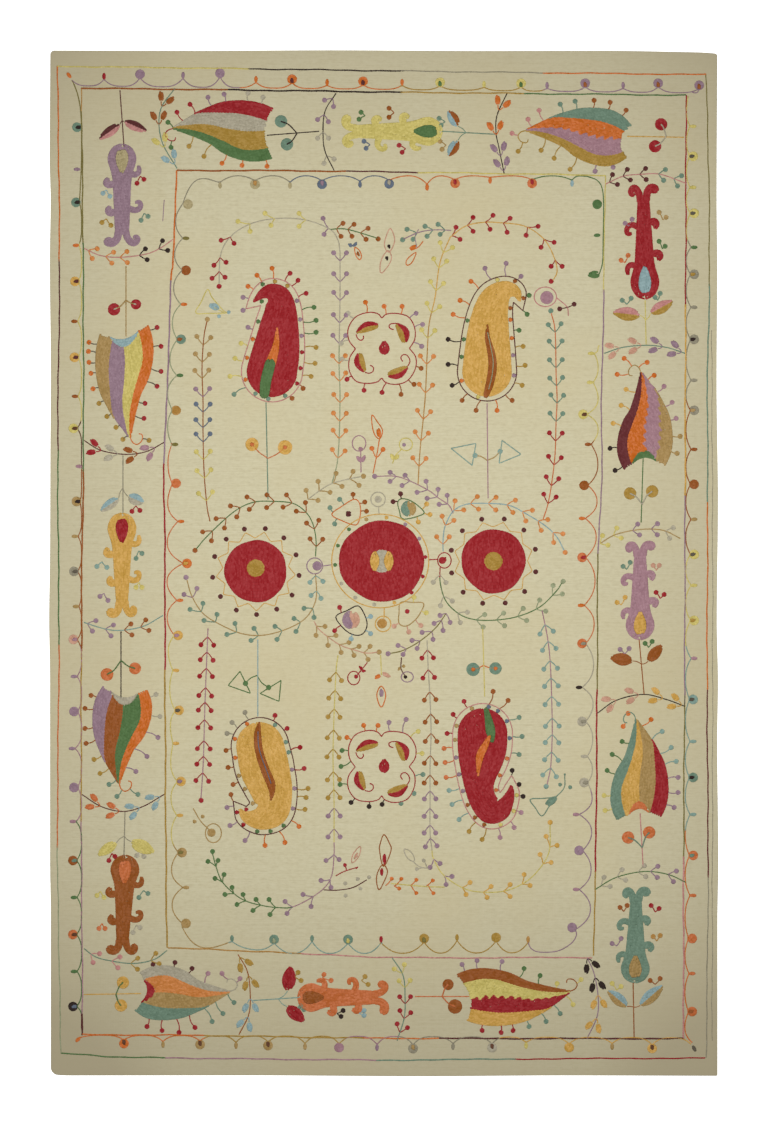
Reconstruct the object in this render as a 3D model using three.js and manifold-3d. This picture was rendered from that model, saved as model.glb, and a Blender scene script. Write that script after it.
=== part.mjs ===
// A flat woven kilim rug with chain stitch embroidery, laid out flat.
// Millimetres, +Z up, +Y along the rug, origin under the middle of the rug.
import * as THREE from 'three';
import { mergeVertices } from 'three/addons/utils/BufferGeometryUtils.js';
import Module from 'manifold-3d';

const wasm = await Module();
wasm.setup();

// The cloth
const RUG_WIDTH = 1855;
const RUG_LENGTH = 2850;
const CLOTH_THICKNESS = 2.0;
const EDGE_STEPS_ACROSS = 18;
const EDGE_STEPS_ALONG = 26;
const EDGE_WAVE = 1.8; // how far a woven edge strays from a straight line
const CORNER_RADIUS = 13;
const CORNER_STEPS = 3;

// The embroidery stands this high over the cloth
const FIELD_RELIEF = 1.0;
const LINE_RELIEF = 0.8;
const LINE_WIDTH = 4.5;
const ROOTED = 0.9; // how deep the stitches reach into the cloth
const SELVEDGE_WIDTH = 5;
const SELVEDGE_RELIEF = 0.5;
const SELVEDGE_INSET = 13;

// Places in the tables below are in centimetres from the middle of the rug
const CM = 10;

// The three frames that part the borders, as the reach of each side from the middle
const frames = [
  { left: -90.4, right: 89.9, top: 138.2, bottom: -137.6 },
  { left: -84.2, right: 84.0, top: 131.4, bottom: -131.8 },
  { left: -60.0, right: 60.0, top: 108.8, bottom: -108.7 },
];

// Border columns: the middle of the domed head, and the end of the splayed feet
const columns = [
  { headX: -72.8, headY: 112.6, footX: -72.8, footY: 88.0 },
  { headX: -72.8, headY: 9.7, footX: -72.8, footY: -15.3 },
  { headX: -72.0, headY: -84.5, footX: -72.0, footY: -109.0 },
  { headX: -20.0, headY: -120.6, footX: 0.5, footY: -120.6 },
  { headX: 70.1, headY: -112.0, footX: 70.1, footY: -89.5 },
  { headX: 71.2, headY: -17.0, footX: 71.2, footY: 6.6 },
  { headX: 72.6, headY: 77.3, footX: 72.6, footY: 105.4 },
  { headX: 12.5, headY: 120.1, footX: -12.0, footY: 120.1 },
];

// Border fans: the tip, and the two corners of the hollow base
const fans = [
  { tipX: -70.6, tipY: 35.0, aX: -79.0, aY: 63.9, bX: -65.6, bY: 66.1 },
  { tipX: -73.7, tipY: -61.2, aX: -78.4, aY: -34.2, bX: -65.9, bY: -35.0 },
  { tipX: -42.8, tipY: -119.5, aX: -67.8, aY: -113.7, bX: -69.2, bY: -124.3 },
  { tipX: 51.7, tipY: -119.8, aX: 20.0, aY: -114.3, bX: 23.1, bY: -127.0 },
  { tipX: 70.1, tipY: -43.4, aX: 64.8, aY: -71.4, bX: 77.0, bY: -70.3 },
  { tipX: 71.4, tipY: 53.1, aX: 66.7, aY: 26.1, bX: 78.1, bY: 27.2 },
  { tipX: 39.5, tipY: 120.4, aX: 68.7, aY: 121.8, bX: 67.6, bY: 112.9 },
  { tipX: -58.7, tipY: 120.9, aX: -30.9, aY: 126.5, bX: -30.9, bY: 112.6 },
];

// Paisleys: their spine from the round end, by the widest place and the neck, over the crest to the curled tip
const paisleys = [
  [[-31.6, 46.2], [-30.6, 55.6], [-29.2, 66.2], [-31.1, 76.2], [-35.9, 72.0]],
  [[28.6, 46.2], [28.6, 55.0], [29.5, 66.2], [32.5, 75.9], [37.5, 72.3]],
  [[-33.9, -44.8], [-32.8, -56.2], [-31.1, -65.9], [-32.8, -73.1], [-39.5, -69.2]],
  [[28.4, -40.6], [27.5, -52.0], [27.5, -63.1], [30.3, -70.9], [35.3, -62.8]],
];
const PAISLEY_HALF_WIDTH = 7.4;

// Round medallions on the middle line, and the ring round the large one
const medallions = [
  { x: -35.7, y: -2.1, radius: 8.6 },
  { x: -0.6, y: 0.6, radius: 11.5 },
  { x: 30.4, y: 0.6, radius: 8.9 },
];
const RING_RADIUS = 13.3;

// Four lobed flowers over and under the middle
const quatrefoils = [
  { x: 0.0, y: 60.0, radius: 10.2 },
  { x: -0.6, y: -56.7, radius: 10.2 },
];

// Vines that divide the field, each a curve through a few places
const vines = [
  [[-45.8, 77.3], [-45.2, 86.1], [-35.8, 94.6], [-21.5, 95.4], [-12.6, 89.5], [-12.2, 60.0], [-12.6, 31.0], [-14.5, 22.2]],
  [[46.4, 78.4], [47.6, 85.5], [40.3, 92.8], [29.0, 94.7], [18.8, 90.5], [14.7, 78.4], [12.0, 57.8], [9.6, 22.0]],
  [[-49.2, 67.8], [-50.6, 54.0], [-50.2, 38.0], [-49.2, 15.8], [-48.5, 11.1]],
  [[46.4, 69.8], [47.9, 52.0], [47.8, 36.0], [46.6, 22.9], [44.2, 12.2]],
  [[-52.5, 3.6], [-42.0, 14.2], [-30.8, 17.2], [-21.8, 14.2], [-18.9, 2.5]],
  [[-55.0, -4.4], [-50.3, -13.9], [-34.2, -20.0], [-22.5, -15.8], [-18.9, -3.6]],
  [[16.1, 3.3], [19.2, 14.4], [28.4, 16.7], [39.8, 13.9], [50.3, 3.1]],
  [[15.3, -1.1], [17.8, -10.8], [28.4, -15.8], [43.1, -12.2], [49.8, -5.0]],
  [[-49.0, -17.8], [-49.5, -39.8], [-50.0, -48.7], [-50.9, -65.1]],
  [[43.9, -13.1], [46.4, -31.1], [46.7, -42.5], [45.6, -60.6]],
  [[-12.8, -25.6], [-13.9, -42.5], [-13.9, -80.9], [-18.1, -91.5], [-29.7, -95.6], [-41.4, -92.3], [-47.8, -80.6]],
  [[12.0, -21.4], [12.8, -37.8], [12.8, -74.8], [16.1, -86.2], [25.3, -91.2], [38.6, -89.0], [46.4, -76.2], [46.1, -72.3]],
];

// Vines that part the cells of the border: how far along its side each one starts,
// how much it climbs on its way from the second frame to the inner one, and how far it bows
const crossVines = [
  { side: 'left', at: 87.8, climb: 2.3, bow: -3.8 },
  { side: 'left', at: 34.2, climb: -0.6, bow: -3.6 },
  { side: 'left', at: -16.4, climb: 1.9, bow: -2.8 },
  { side: 'left', at: -64.2, climb: 0.0, bow: -4.6 },
  { side: 'left', at: -107.0, climb: -0.6, bow: -3.9 },
  { side: 'bottom', at: -40.3, climb: -0.3, bow: 3.2 },
  { side: 'bottom', at: 3.6, climb: -1.4, bow: 2.9 },
  { side: 'bottom', at: 56.4, climb: 0.0, bow: 3.0 },
  { side: 'right', at: -88.7, climb: -1.9, bow: 4.0 },
  { side: 'right', at: -39.8, climb: -1.9, bow: 4.4 },
  { side: 'right', at: 7.0, climb: -1.4, bow: 3.2 },
  { side: 'right', at: 58.4, climb: -0.3, bow: 2.2 },
  { side: 'right', at: 105.4, climb: 0.0, bow: 2.6 },
  { side: 'top', at: 34.2, climb: -0.8, bow: -3.2 },
  { side: 'top', at: -13.3, climb: -0.6, bow: -3.3 },
  { side: 'top', at: -58.1, climb: 0.6, bow: -4.2 },
];
const FRAME_CLEARANCE = 0.5; // cm between a cross vine's end and the middle of a frame line

const point = (x, y) => new THREE.Vector2(x * CM, y * CM);

// A closed outline, as a prism between two heights
function prism(outline, bottom, top, hole) {
  const shape = new THREE.Shape(outline);
  if (hole) shape.holes.push(new THREE.Path(hole));
  const geometry = new THREE.ExtrudeGeometry(shape, {
    depth: top - bottom,
    bevelEnabled: false,
    curveSegments: 1,
  });
  return geometry.translate(0, 0, bottom);
}

// Stitched shapes are rooted in the cloth and stand over it
const stitched = (outline, relief, hole) =>
  prism(outline, CLOTH_THICKNESS - ROOTED, CLOTH_THICKNESS + relief, hole);

// A band of even width that follows a smooth curve
function band(places, steps, width) {
  const curve = new THREE.SplineCurve(places);
  const leftSide = [];
  const rightSide = [];
  for (let i = 0; i <= steps; i += 1) {
    const at = curve.getPointAt(i / steps);
    const along = curve.getTangentAt(i / steps);
    const across = new THREE.Vector2(-along.y, along.x).multiplyScalar(width / 2);
    leftSide.push(at.clone().add(across));
    rightSide.unshift(at.clone().sub(across));
  }
  return [...leftSide, ...rightSide];
}

// Turns a flat profile, drawn along +X from the origin, onto the line between two places
function placed(profile, from, to) {
  const angle = Math.atan2(to.y - from.y, to.x - from.x);
  return profile.map((p) => p.clone().rotateAround(new THREE.Vector2(), angle).add(from));
}

const mirrored = (half) => [
  ...half,
  ...half.filter((p) => Math.abs(p.y) > 0.01).map((p) => new THREE.Vector2(p.x, -p.y)).reverse(),
];

// The outer edge of the cloth: nearly straight, with soft corners
function clothOutline() {
  const halfWidth = RUG_WIDTH / 2;
  const halfLength = RUG_LENGTH / 2;
  const stray = (t, phase) =>
    EDGE_WAVE * (0.6 * Math.sin(7.1 * t + phase) + 0.4 * Math.sin(17.3 * t + 2.2 * phase));
  const outline = [];
  const side = (from, to, steps, phase) => {
    const along = to.clone().sub(from);
    const outward = new THREE.Vector2(along.y, -along.x).normalize();
    for (let i = 0; i <= steps; i += 1) {
      const t = i / steps;
      const fade = Math.sin(Math.PI * t) ** 0.3;
      const strays = fade * stray(t, phase) - EDGE_WAVE;
      outline.push(from.clone().addScaledVector(along, t).addScaledVector(outward, strays));
    }
  };
  const corner = (x, y, start) => {
    for (let i = 1; i < CORNER_STEPS; i += 1) {
      const angle = start + (i / CORNER_STEPS) * (Math.PI / 2);
      outline.push(new THREE.Vector2(
        x + (CORNER_RADIUS - EDGE_WAVE) * Math.cos(angle),
        y + (CORNER_RADIUS - EDGE_WAVE) * Math.sin(angle),
      ));
    }
  };
  const r = CORNER_RADIUS;
  const at = (x, y) => new THREE.Vector2(x, y);
  side(at(-halfWidth + r, -halfLength), at(halfWidth - r, -halfLength), EDGE_STEPS_ACROSS, 0.4);
  corner(halfWidth - r, -halfLength + r, -Math.PI / 2);
  side(at(halfWidth, -halfLength + r), at(halfWidth, halfLength - r), EDGE_STEPS_ALONG, 1.7);
  corner(halfWidth - r, halfLength - r, 0);
  side(at(halfWidth - r, halfLength), at(-halfWidth + r, halfLength), EDGE_STEPS_ACROSS, 2.9);
  corner(-halfWidth + r, halfLength - r, Math.PI / 2);
  side(at(-halfWidth, halfLength - r), at(-halfWidth, -halfLength + r), EDGE_STEPS_ALONG, 4.4);
  corner(-halfWidth + r, -halfLength + r, Math.PI);
  return outline;
}

// A frame is one ridge that runs round the rug, as wide as a line of stitches
function frameLine(frame) {
  const rectangle = (grow) => {
    const left = frame.left * CM - grow;
    const right = frame.right * CM + grow;
    const bottom = frame.bottom * CM - grow;
    const top = frame.top * CM + grow;
    return [[left, bottom], [right, bottom], [right, top], [left, top]].map(([x, y]) => new THREE.Vector2(x, y));
  };
  return stitched(rectangle(LINE_WIDTH / 2), LINE_RELIEF, rectangle(-LINE_WIDTH / 2));
}

// A selvedge cord runs just inside each long edge
function selvedge(side) {
  const x = side * (RUG_WIDTH / 2 - SELVEDGE_INSET);
  const reach = RUG_LENGTH / 2 - CORNER_RADIUS;
  return stitched(
    band([new THREE.Vector2(x, -reach), new THREE.Vector2(x, reach)], 1, SELVEDGE_WIDTH),
    SELVEDGE_RELIEF,
  );
}

// Half the outline of a column, from the dome's crown to the feet: place along it and half width
const columnProfile = [
  { along: -0.18, half: 0.0 },
  { along: -0.13, half: 2.9 },
  { along: 0.0, half: 4.1 },
  { along: 0.12, half: 3.6 },
  { along: 0.2, half: 2.4 },
  { along: 0.3, half: 3.9 },
  { along: 0.36, half: 5.2 },
  { along: 0.38, half: 3.6 },
  { along: 0.45, half: 2.1 },
  { along: 0.55, half: 3.4 },
  { along: 0.62, half: 4.6 },
  { along: 0.64, half: 3.2 },
  { along: 0.7, half: 1.8 },
  { along: 0.86, half: 2.6 },
  { along: 1.0, half: 4.2 },
  { along: 0.97, half: 1.6 },
  { along: 0.88, half: 0.0 },
];

function column(c) {
  const head = point(c.headX, c.headY);
  const foot = point(c.footX, c.footY);
  const length = head.distanceTo(foot);
  const half = columnProfile.map((row) => new THREE.Vector2(row.along * length, row.half * CM));
  return stitched(placed(mirrored(half), head, foot), FIELD_RELIEF);
}

// A fan: hollow base between two corners, bowed sides, and a tip
const FAN_BULGE = 1.5; // cm that the sides swell beyond a straight taper
function fan(f) {
  const a = point(f.aX, f.aY);
  const b = point(f.bX, f.bY);
  const tip = point(f.tipX, f.tipY);
  const middle = a.clone().add(b).multiplyScalar(0.5);
  const length = middle.distanceTo(tip);
  const halfBase = a.distanceTo(b) / 2;
  const half = [new THREE.Vector2(0.1 * length, 0), new THREE.Vector2(0.07 * length, 0.5 * halfBase)];
  for (let i = 0; i <= 6; i += 1) {
    const t = i / 6;
    const width = halfBase * (1 - t) ** 0.75 + FAN_BULGE * CM * Math.sin(Math.PI * t);
    half.push(new THREE.Vector2(t * length, Math.max(width, 0)));
  }
  return stitched(placed(mirrored(half), middle, tip), FIELD_RELIEF);
}

// A paisley: a bent spine whose width swells, narrows and ends in a point
const PAISLEY_STEPS = 16;
const PAISLEY_TIP = 2; // half width where the spine begins and ends
function paisley(places) {
  const spine = new THREE.SplineCurve(places.map(([x, y]) => point(x, y)));
  const leftSide = [];
  const rightSide = [];
  for (let i = 0; i <= PAISLEY_STEPS; i += 1) {
    const t = i / PAISLEY_STEPS;
    const along = spine.getTangentAt(t);
    const swell = PAISLEY_HALF_WIDTH * CM * Math.sin(Math.PI * Math.sqrt(t));
    const across = new THREE.Vector2(-along.y, along.x).multiplyScalar(Math.max(swell, PAISLEY_TIP));
    leftSide.push(spine.getPointAt(t).add(across));
    rightSide.unshift(spine.getPointAt(t).sub(across));
  }
  return stitched([...leftSide, ...rightSide], FIELD_RELIEF);
}

const circle = (x, y, radius, steps, offset = 0) => Array.from({ length: steps }, (_, i) => {
  const angle = ((i + offset) / steps) * 2 * Math.PI;
  return point(x + radius * Math.cos(angle), y + radius * Math.sin(angle));
});

const ring = (outline, x, y) => outline.map((p) => {
  const centre = point(x, y);
  const out = p.clone().sub(centre);
  return centre.add(out.setLength(out.length() - LINE_WIDTH));
});

function roundMedallion(m) {
  return stitched(circle(m.x, m.y, m.radius, 28), FIELD_RELIEF);
}

function medallionRing(m) {
  const outer = circle(m.x, m.y, RING_RADIUS, 30);
  return stitched(outer, LINE_RELIEF, ring(outer, m.x, m.y));
}

// A ring drawn in to a cusp between its four lobes
const LOBE_DEPTH = 0.24;
function quatrefoil(q) {
  const steps = 32;
  const outer = Array.from({ length: steps }, (_, i) => {
    const angle = (i / steps) * 2 * Math.PI;
    const radius = q.radius * (1.04 + LOBE_DEPTH * (Math.abs(Math.sin(2 * angle)) ** 0.6 - 1));
    return point(q.x + radius * Math.cos(angle), q.y + radius * 1.08 * Math.sin(angle));
  });
  return stitched(outer, LINE_RELIEF, ring(outer, q.x, q.y));
}

function vine(places) {
  return stitched(band(places.map(([x, y]) => point(x, y)), 4 * (places.length - 1), LINE_WIDTH), LINE_RELIEF);
}

function crossVine(v) {
  const [, outer, inner] = frames;
  const start = outer[v.side] - Math.sign(outer[v.side]) * FRAME_CLEARANCE;
  const end = inner[v.side] + Math.sign(inner[v.side]) * FRAME_CLEARANCE;
  const upright = v.side === 'left' || v.side === 'right';
  const place = (reach, level) => (upright ? point(reach, level) : point(level, reach));
  return stitched(band([
    place(start, v.at),
    place((start + end) / 2, v.at + v.climb / 2 + v.bow),
    place(end, v.at + v.climb),
  ], 8, LINE_WIDTH), LINE_RELIEF);
}

function solidOf(geometry) {
  const bare = geometry.index ? geometry.toNonIndexed() : geometry.clone();
  bare.deleteAttribute('normal');
  bare.deleteAttribute('uv');
  const merged = mergeVertices(bare, 1e-4);
  return new wasm.Manifold(new wasm.Mesh({
    numProp: 3,
    vertProperties: new Float32Array(merged.attributes.position.array),
    triVerts: new Uint32Array(merged.index.array),
  }));
}

function geometryOf(solid) {
  const mesh = solid.getMesh();
  const geometry = new THREE.BufferGeometry();
  geometry.setAttribute('position', new THREE.BufferAttribute(new Float32Array(mesh.vertProperties), 3));
  geometry.setIndex(new THREE.BufferAttribute(new Uint32Array(mesh.triVerts), 1));
  geometry.computeVertexNormals();
  return geometry;
}

function embroideredCloth() {
  const raised = [
    ...frames.map(frameLine),
    selvedge(-1),
    selvedge(1),
    ...columns.map(column),
    ...fans.map(fan),
    ...paisleys.map(paisley),
    ...medallions.map(roundMedallion),
    medallionRing(medallions[1]),
    ...quatrefoils.map(quatrefoil),
    ...vines.map(vine),
    ...crossVines.map(crossVine),
  ];
  const cloth = solidOf(prism(clothOutline(), 0, CLOTH_THICKNESS));
  return geometryOf(raised.reduce((whole, piece) => whole.add(solidOf(piece)), cloth));
}

const rug = new THREE.Mesh(
  embroideredCloth(),
  new THREE.MeshStandardMaterial({ color: 0xcabf9f, roughness: 0.95, metalness: 0 }),
);
rug.name = 'rug';

const model = new THREE.Group();
model.add(rug);

export default model;
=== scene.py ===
import math
import bpy
import bmesh
import numpy as np
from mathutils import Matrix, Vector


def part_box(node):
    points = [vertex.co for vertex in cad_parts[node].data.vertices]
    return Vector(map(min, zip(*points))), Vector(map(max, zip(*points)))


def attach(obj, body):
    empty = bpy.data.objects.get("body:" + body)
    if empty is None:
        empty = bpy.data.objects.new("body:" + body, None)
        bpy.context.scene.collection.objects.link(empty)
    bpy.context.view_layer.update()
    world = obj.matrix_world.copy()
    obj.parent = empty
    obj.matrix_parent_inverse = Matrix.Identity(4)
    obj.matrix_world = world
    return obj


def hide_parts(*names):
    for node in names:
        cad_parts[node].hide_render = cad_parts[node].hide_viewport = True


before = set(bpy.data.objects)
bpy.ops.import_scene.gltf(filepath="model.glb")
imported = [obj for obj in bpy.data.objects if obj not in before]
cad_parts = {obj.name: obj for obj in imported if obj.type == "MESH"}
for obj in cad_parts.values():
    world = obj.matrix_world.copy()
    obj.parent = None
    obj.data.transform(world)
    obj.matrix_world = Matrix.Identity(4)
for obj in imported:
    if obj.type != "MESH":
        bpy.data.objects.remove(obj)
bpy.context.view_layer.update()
rugLow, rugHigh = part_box("rug")

# Places in the pattern are written in the layout's own units, one for each pixel of the 768 x 1126 picture.
layout = {"left": 50.1, "right": 717.2, "top": 50.4, "bottom": 1075.2, "imageHeight": 1126}
layoutMiddle = ((layout["left"] + layout["right"]) / 2, (layout["top"] + layout["bottom"]) / 2)
unit = (rugHigh[0] - rugLow[0]) / (layout["right"] - layout["left"])  # metres to one layout unit

stitch = {
    "pitch": 1.25,        # from row to row, layout units
    "rise": 0.0011,       # how high a stitch stands, metres
    "sunk": 0.0003,       # how deep it is pulled into the cloth
    "overStep": 0.0009,   # how much higher a stitch sits that is worked over others
    "overlap": 0.42,      # each link reaches into the next
    "uneven": 0.10,
    "lap": 1.5,           # how far one yarn of a line runs on past its end, layout units
    "kinds": {            # length and width in layout units
        "fill": (3.0, 2.35),
        "line": (2.4, 1.65),
        "bold": (2.5, 2.0),
        "fine": (2.1, 1.32),
        "hair": (2.1, 1.0),
    },
}

dyes = {  # sRGB, 0 to 255
    "crimson": (155, 42, 46), "burgundy": (104, 49, 50), "maroon": (92, 48, 46), "nearBlack": (52, 40, 35),
    "brown": (100, 66, 46), "rust": (150, 86, 40), "orange": (202, 110, 50), "coral": (198, 112, 66),
    "apricot": (206, 132, 72), "khaki": (172, 158, 118),
    "salmon": (196, 150, 126), "pink": (190, 132, 126), "mauve": (164, 126, 134), "lavender": (149, 122, 134),
    "slate": (100, 110, 124), "lightBlue": (142, 167, 168), "teal": (112, 137, 117),
    "lightTeal": (132, 158, 146),
    "sage": (150, 156, 122), "green": (86, 116, 70), "olive": (124, 114, 62), "mustard": (168, 134, 62),
    "gold": (204, 160, 82), "ochre": (176, 132, 70), "paleYellow": (202, 187, 108), "tan": (168, 138, 86),
    "silver": (172, 164, 142), "grey": (146, 139, 118), "darkGrey": (96, 88, 74),
}


def toMetres(points):
    p = np.asarray(points, float)
    return np.stack([(p[..., 0] - layoutMiddle[0]) * unit, (layoutMiddle[1] - p[..., 1]) * unit], axis=-1)


# Curves

def smooth(points, closed=False, step=1.2):
    # a soft curve through the points; further columns, such as a radius, are carried along
    p = np.array(points, float)
    if len(p) == 2 and not closed:
        count = max(2, int(np.linalg.norm(p[1, :2] - p[0, :2]) / step) + 1)
        t = np.linspace(0, 1, count)[:, None]
        return p[:1] * (1 - t) + p[1:] * t
    if closed:
        q = np.vstack([p[-1:], p, p[:2]])
    else:
        q = np.vstack([2 * p[:1] - p[1:2], p, 2 * p[-1:] - p[-2:-1]])
    out = []
    for i in range(1, len(q) - 2):
        a, b, c, d = q[i - 1], q[i], q[i + 1], q[i + 2]
        count = max(1, int(np.linalg.norm(c[:2] - b[:2]) / step))
        t = (np.arange(count) / count)[:, None]
        out.append(0.5 * (2 * b + (c - a) * t + (2 * a - 5 * b + 4 * c - d) * t**2
                          + (3 * b - a - 3 * c + d) * t**3))
    out.append(q[-2:-1])
    return np.vstack(out)


def fair(table, where):
    # a soft graph through a short table of (place, value)
    place, value = np.array(table, float).T
    rate = np.diff(value) / np.diff(place)
    slope = np.concatenate([rate[:1], (rate[1:] + rate[:-1]) / 2, rate[-1:]])
    calm = 2 * np.minimum(np.abs(np.append(rate, rate[-1])), np.abs(np.insert(rate, 0, rate[0])))
    level = np.append(rate, rate[-1]) * np.insert(rate, 0, rate[0]) <= 0
    slope = np.where(level, 0, np.clip(slope, -calm, calm))
    i = np.clip(np.searchsorted(place, where) - 1, 0, len(place) - 2)
    h = place[i + 1] - place[i]
    s = np.clip((where - place[i]) / h, 0, 1)
    return (value[i] * (1 + 2 * s) * (1 - s) ** 2 + h * slope[i] * s * (1 - s) ** 2
            + value[i + 1] * s * s * (3 - 2 * s) + h * slope[i + 1] * s * s * (s - 1))


def heading(path):
    step = np.gradient(path[:, :2], axis=0)
    return step / np.maximum(np.linalg.norm(step, axis=1, keepdims=True), 1e-9)


def across(path):
    way = heading(path)
    return np.stack([-way[:, 1], way[:, 0]], axis=1)


def nearest(path, x, y):
    return int(np.argmin(np.hypot(path[:, 0] - x, path[:, 1] - y)))


def turned(vector, degrees):
    a = math.radians(degrees)
    return np.array([vector[0] * math.cos(a) - vector[1] * math.sin(a),
                     vector[0] * math.sin(a) + vector[1] * math.cos(a)])


def stretchOf(path, axis, start, stop):
    # the part of a path whose x (axis 0) or y (axis 1) lies between two values
    low, high = min(start, stop), max(start, stop)
    keep = (path[:, axis] >= low - stitch["lap"]) & (path[:, axis] <= high + stitch["lap"])
    return path[keep]


# Stitching: every row of stitches is kept by piece, yarn, kind and level until the links are made

rows = {}


def sew(piece, yarn, path, kind="line", level=0):
    path = np.asarray(path, float)[:, :2]
    if len(path) > 1:
        rows.setdefault((piece, yarn, kind, level), []).append(path)


def dropOrder(count):
    # edges are kept longest, then the middle, then the quarters
    order = [0] if count == 1 else [0, count - 1]
    spans = [(0, count - 1)]
    while spans:
        low, high = spans.pop(0)
        mid = (low + high) // 2
        if mid not in (low, high):
            order.append(mid)
            spans += [(low, mid), (mid, high)]
    rank = np.zeros(count)
    rank[order] = np.arange(len(order))
    return rank


def fillBetween(piece, yarn, edgeA, edgeB, inside=None, level=0):
    # rows that flow along two edges; rows drop out where the edges close up
    width = np.linalg.norm(edgeB - edgeA, axis=1)
    need = np.maximum(width / stitch["pitch"], 1.0)
    count = int(math.ceil(need.max() - 0.15))
    weight = np.clip(need[:, None] - dropOrder(count)[None, :], 0, 1)
    centre = (np.cumsum(weight, axis=1) - weight / 2) / weight.sum(axis=1, keepdims=True)
    where = edgeA[:, None, :] + (edgeB - edgeA)[:, None, :] * centre[:, :, None]
    alive = (weight > 0.5) & (width > 0.4 * stitch["pitch"])[:, None]
    if inside is not None:
        alive &= inside(where)
    for j in range(count):
        turns = np.flatnonzero(np.diff(np.concatenate([[0], alive[:, j].astype(int), [0]])))
        for start, stop in zip(turns[::2], turns[1::2]):
            if stop - start > 3:
                start += j % 2
            if stop - start > 1:
                sew(piece, yarn, where[start:stop, j], "fill", level)


def capAngles(radius):
    return np.linspace(0, math.radians(86), max(4, int(radius * 1.2)) + 1)[1:]


def sweep(piece, yarn, spine, level=0, caps=(True, True)):
    # a band along a spine of (x, y, radius) with round ends
    s = smooth(spine, step=1.0)
    way = heading(s)
    if caps[0]:
        r = s[0, 2]
        arc = capAngles(r)
        cap = [np.append(s[0, :2] - way[0] * r * math.sin(a), r * math.cos(a)) for a in arc[::-1]]
        s = np.vstack([cap, s])
    if caps[1]:
        r = s[-1, 2]
        arc = capAngles(r)
        cap = [np.append(s[-1, :2] + way[-1] * r * math.sin(a), r * math.cos(a)) for a in arc]
        s = np.vstack([s, cap])
    side = across(s) * s[:, 2:3]
    fillBetween(piece, yarn, s[:, :2] - side, s[:, :2] + side, level=level)


def leaf(piece, yarn, tail, tip, half, belly=0.45, blunt=0.8, second=None, level=0, bow=0.0):
    # a leaf or drop from tail to tip, in one yarn or with the second one on its other half
    tail, tip = np.array(tail, float), np.array(tip, float)
    length = np.linalg.norm(tip - tail)
    way = (tip - tail) / length
    side = np.array([-way[1], way[0]])
    t = np.linspace(0.0, 1.0, max(5, int(length / 0.9)))
    shape = half * np.maximum(np.sin(np.pi * t ** (math.log(0.5) / math.log(belly))), 0) ** blunt
    spine = tail + (tip - tail) * t[:, None] + side * (bow * np.sin(np.pi * t))[:, None]
    low, high = spine - side * shape[:, None], spine + side * shape[:, None]
    if second:
        fillBetween(piece, yarn, low, spine, level=level)
        fillBetween(piece, second, spine, high, level=level)
    else:
        fillBetween(piece, yarn, low, high, level=level)


def dot(piece, yarn, x, y, radius=2.7, level=0):
    rings = max(1, round(radius / stitch["pitch"]))
    gap = radius / rings
    for i in range(rings):
        r = radius - (i + 0.5) * gap
        if r < 0.85:
            sew(piece, yarn, [(x - 0.8, y), (x + 0.8, y)], "fill", level)
        else:
            turn = np.linspace(0, 2 * math.pi, max(7, int(r * 5)))
            sew(piece, yarn, np.stack([x + r * np.cos(turn), y + r * np.sin(turn)], axis=1), "fill", level)


def stem(piece, yarn, start, end, bow=0.0, kind="fine"):
    start, end = np.array(start, float), np.array(end, float)
    side = np.array([-(end - start)[1], (end - start)[0]])
    sew(piece, yarn, smooth([start, (start + end) / 2 + side * bow, end]), kind)


def pin(piece, yarn, x, y, outline, stemYarn=None, radius=2.6):
    # a lollipop: a bud on a short stem from the nearest point of a shape
    foot = outline[nearest(outline, x, y), :2]
    bow = 0.10 if (x * 7 + y * 3) % 2 < 1 else -0.10
    stem(piece, stemYarn or yarn, foot, (x, y), bow)
    dot(piece, yarn, x, y, radius)


def openLine(piece, yarn, points, kind="line", level=0):
    path = smooth(points)
    sew(piece, yarn, path, kind, level)
    return path


def pair(piece, path, i, yarn, spread, rise, bow=0.05, radius=2.6):
    # two buds that lie ahead of their joint, one on either side
    side, way = across(path)[i], heading(path)[i]
    for hand in (-1, 1):
        place = path[i] + side * hand * spread + way * rise
        stem(piece, yarn, path[i], place, bow * hand * (1 if rise > 0 else -1))
        dot(piece, yarn, place[0], place[1], radius)


def twins(piece, path, yarns, spread=6.0, rise=8.0):
    # bud pairs along a vine; the listed places are the buds', and rise says how far they lie past their joint
    axis = int(abs(path[-1, 1] - path[0, 1]) > abs(path[-1, 0] - path[0, 0]))
    sign = 1 if path[-1, axis] > path[0, axis] else -1
    for yarn, places in yarns:
        for place in places:
            joint = int(np.argmin(np.abs(path[:, axis] - (place - sign * rise))))
            pair(piece, path, joint, yarn, spread, rise)


def forkedBuds(piece, path, forks, back=6.0, radius=2.6, bow=0.05):
    # bud pairs whose buds are both placed; their joint is on the vine, a little before them
    for yarn, places in forks.items():
        for x1, y1, x2, y2 in places:
            i = int(np.clip(nearest(path, (x1 + x2) / 2, (y1 + y2) / 2) - back / 1.2, 0, len(path) - 1))
            for hand, x, y in ((1, x1, y1), (-1, x2, y2)):
                stem(piece, yarn, path[i], (x, y), bow * hand)
                dot(piece, yarn, x, y, radius)


def leafPairs(piece, path, pairs, lean=34, stalk=5.0, length=10.9, half=2.7):
    # leaf pairs along a vine: the joint's place, the lean back or forth along the vine, both leaves alike
    axis = int(abs(path[-1, 1] - path[0, 1]) > abs(path[-1, 0] - path[0, 0]))
    way = heading(path)
    for yarn, place, back in pairs:
        i = int(np.argmin(np.abs(path[:, axis] - place)))
        for hand in (-1, 1):
            out = turned(way[i] * (-1 if back else 1), hand * lean)
            foot = path[i] + out * stalk
            stem(piece, yarn, path[i], foot, 0.1 * hand)
            leaf(piece, yarn, foot, foot + turned(out, -8 * hand) * length, half)


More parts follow.
